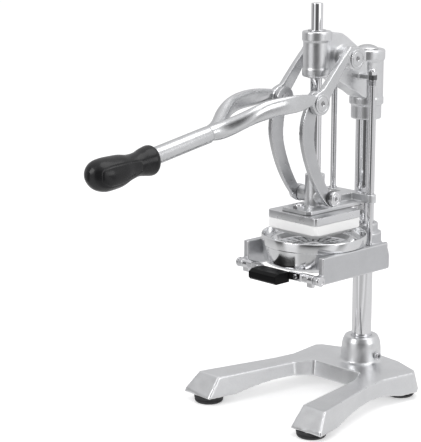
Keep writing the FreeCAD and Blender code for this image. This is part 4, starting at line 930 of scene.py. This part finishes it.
# Presser: a block of white nylon as wide as the plate, turned to a dome underneath.
nylon = soft_finish("white_nylon", (0.97, 0.97, 0.965), 0.42, 0.1, speckle=0.02)
shape = bmesh.new()
DOME_R, DOME_LOW, SIDE_HIGH, TOP = 114.0, 209.62, 234.1, 234.55
DOME_MID = DOME_LOW + DOME_R
square = rounded_square(40.5, 5.5)
rings = [[shape.verts.new((0, PRESS_Y, DOME_LOW))] * len(square)]
for step in range(1, 21):
    share = step / 20
    rings.append([shape.verts.new((
        x * share, PRESS_Y + y * share,
        DOME_MID - math.sqrt(DOME_R ** 2 - share ** 2 * (x * x + y * y)),
    )) for x, y in square])
rings.append([shape.verts.new((x, PRESS_Y + y, SIDE_HIGH)) for x, y in square])
rings.append([shape.verts.new((x * 0.99, PRESS_Y + y * 0.99, TOP)) for x, y in square])
for low, up in zip(rings, rings[1:]):
    bridge(shape, low, up)
shape.faces.new(rings[-1])
presser = new_piece("presser_block", shape)
show(presser, "press_head", nylon, "white_nylon", "presser", sharp=30)

# Plate bolts: three steel bolts from the presser up through the plate and the foot.
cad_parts["plate_bolts"].material_slots[0].material = screw_steel

# Plate cap nuts: plated acorn nuts on the plate bolts, the front one larger.
FOOT_TOP = 249.22
front_nut = grow(
    points("plate_nut_front", [(0, PRESS_Y - 28, FOOT_TOP)]), acorn_nuts,
    corner_radius=0.0069, height=0.0069, lie=(0, 0, 0), finish=rod_chrome)
rear_nuts = grow(
    points("plate_nuts_rear", [(x, PRESS_Y + 24, FOOT_TOP) for x in (-15, 15)]), acorn_nuts,
    corner_radius=0.0051, height=0.0069, lie=(0, 0, 0), finish=rod_chrome)
for nuts in (front_nut, rear_nuts):
    show(nuts, "press_head", rod_chrome, "rod_chrome", "plate_cap_nuts", sharp=30)

# Latch bail: a steel strip with a knuckle at each end, which turns on the latch pins. It has
# a small plate with a lug at each side.
bail = worn_casting("bail", "latch_bail", 0.42, 2)
show(bail, "latch", rod_chrome, "rod_chrome", "latch_bail", sharp=180)

# Latch grip: a black moulded block on the bail's tang, its edges rounded.
latch_black = soft_finish("latch_black", (0.004, 0.004, 0.0045), 0.34, 0.05, level=0.10)
latch_grip = worn_casting("latch_grip_block", "latch_grip", 0.5, 5)
show(latch_grip, "latch", latch_black, "grip_plastic", "latch_grip", sharp=180)

# Latch screws: one small cap screw in each of the bail's plates.
latch_screws = grow(
    points("latch_screw_pair", [(x, 44.72, 177.5) for x in (-32, 32)]), cap_screws,
    head_radius=0.0028, head_height=0.0012, socket=0.0014, shank_radius=0.0016,
    shank_length=0.0052, lie=(math.pi / 2, 0, 0), finish=screw_steel)
show(latch_screws, "latch", screw_steel, "screw_steel", "latch_screws", sharp=30)
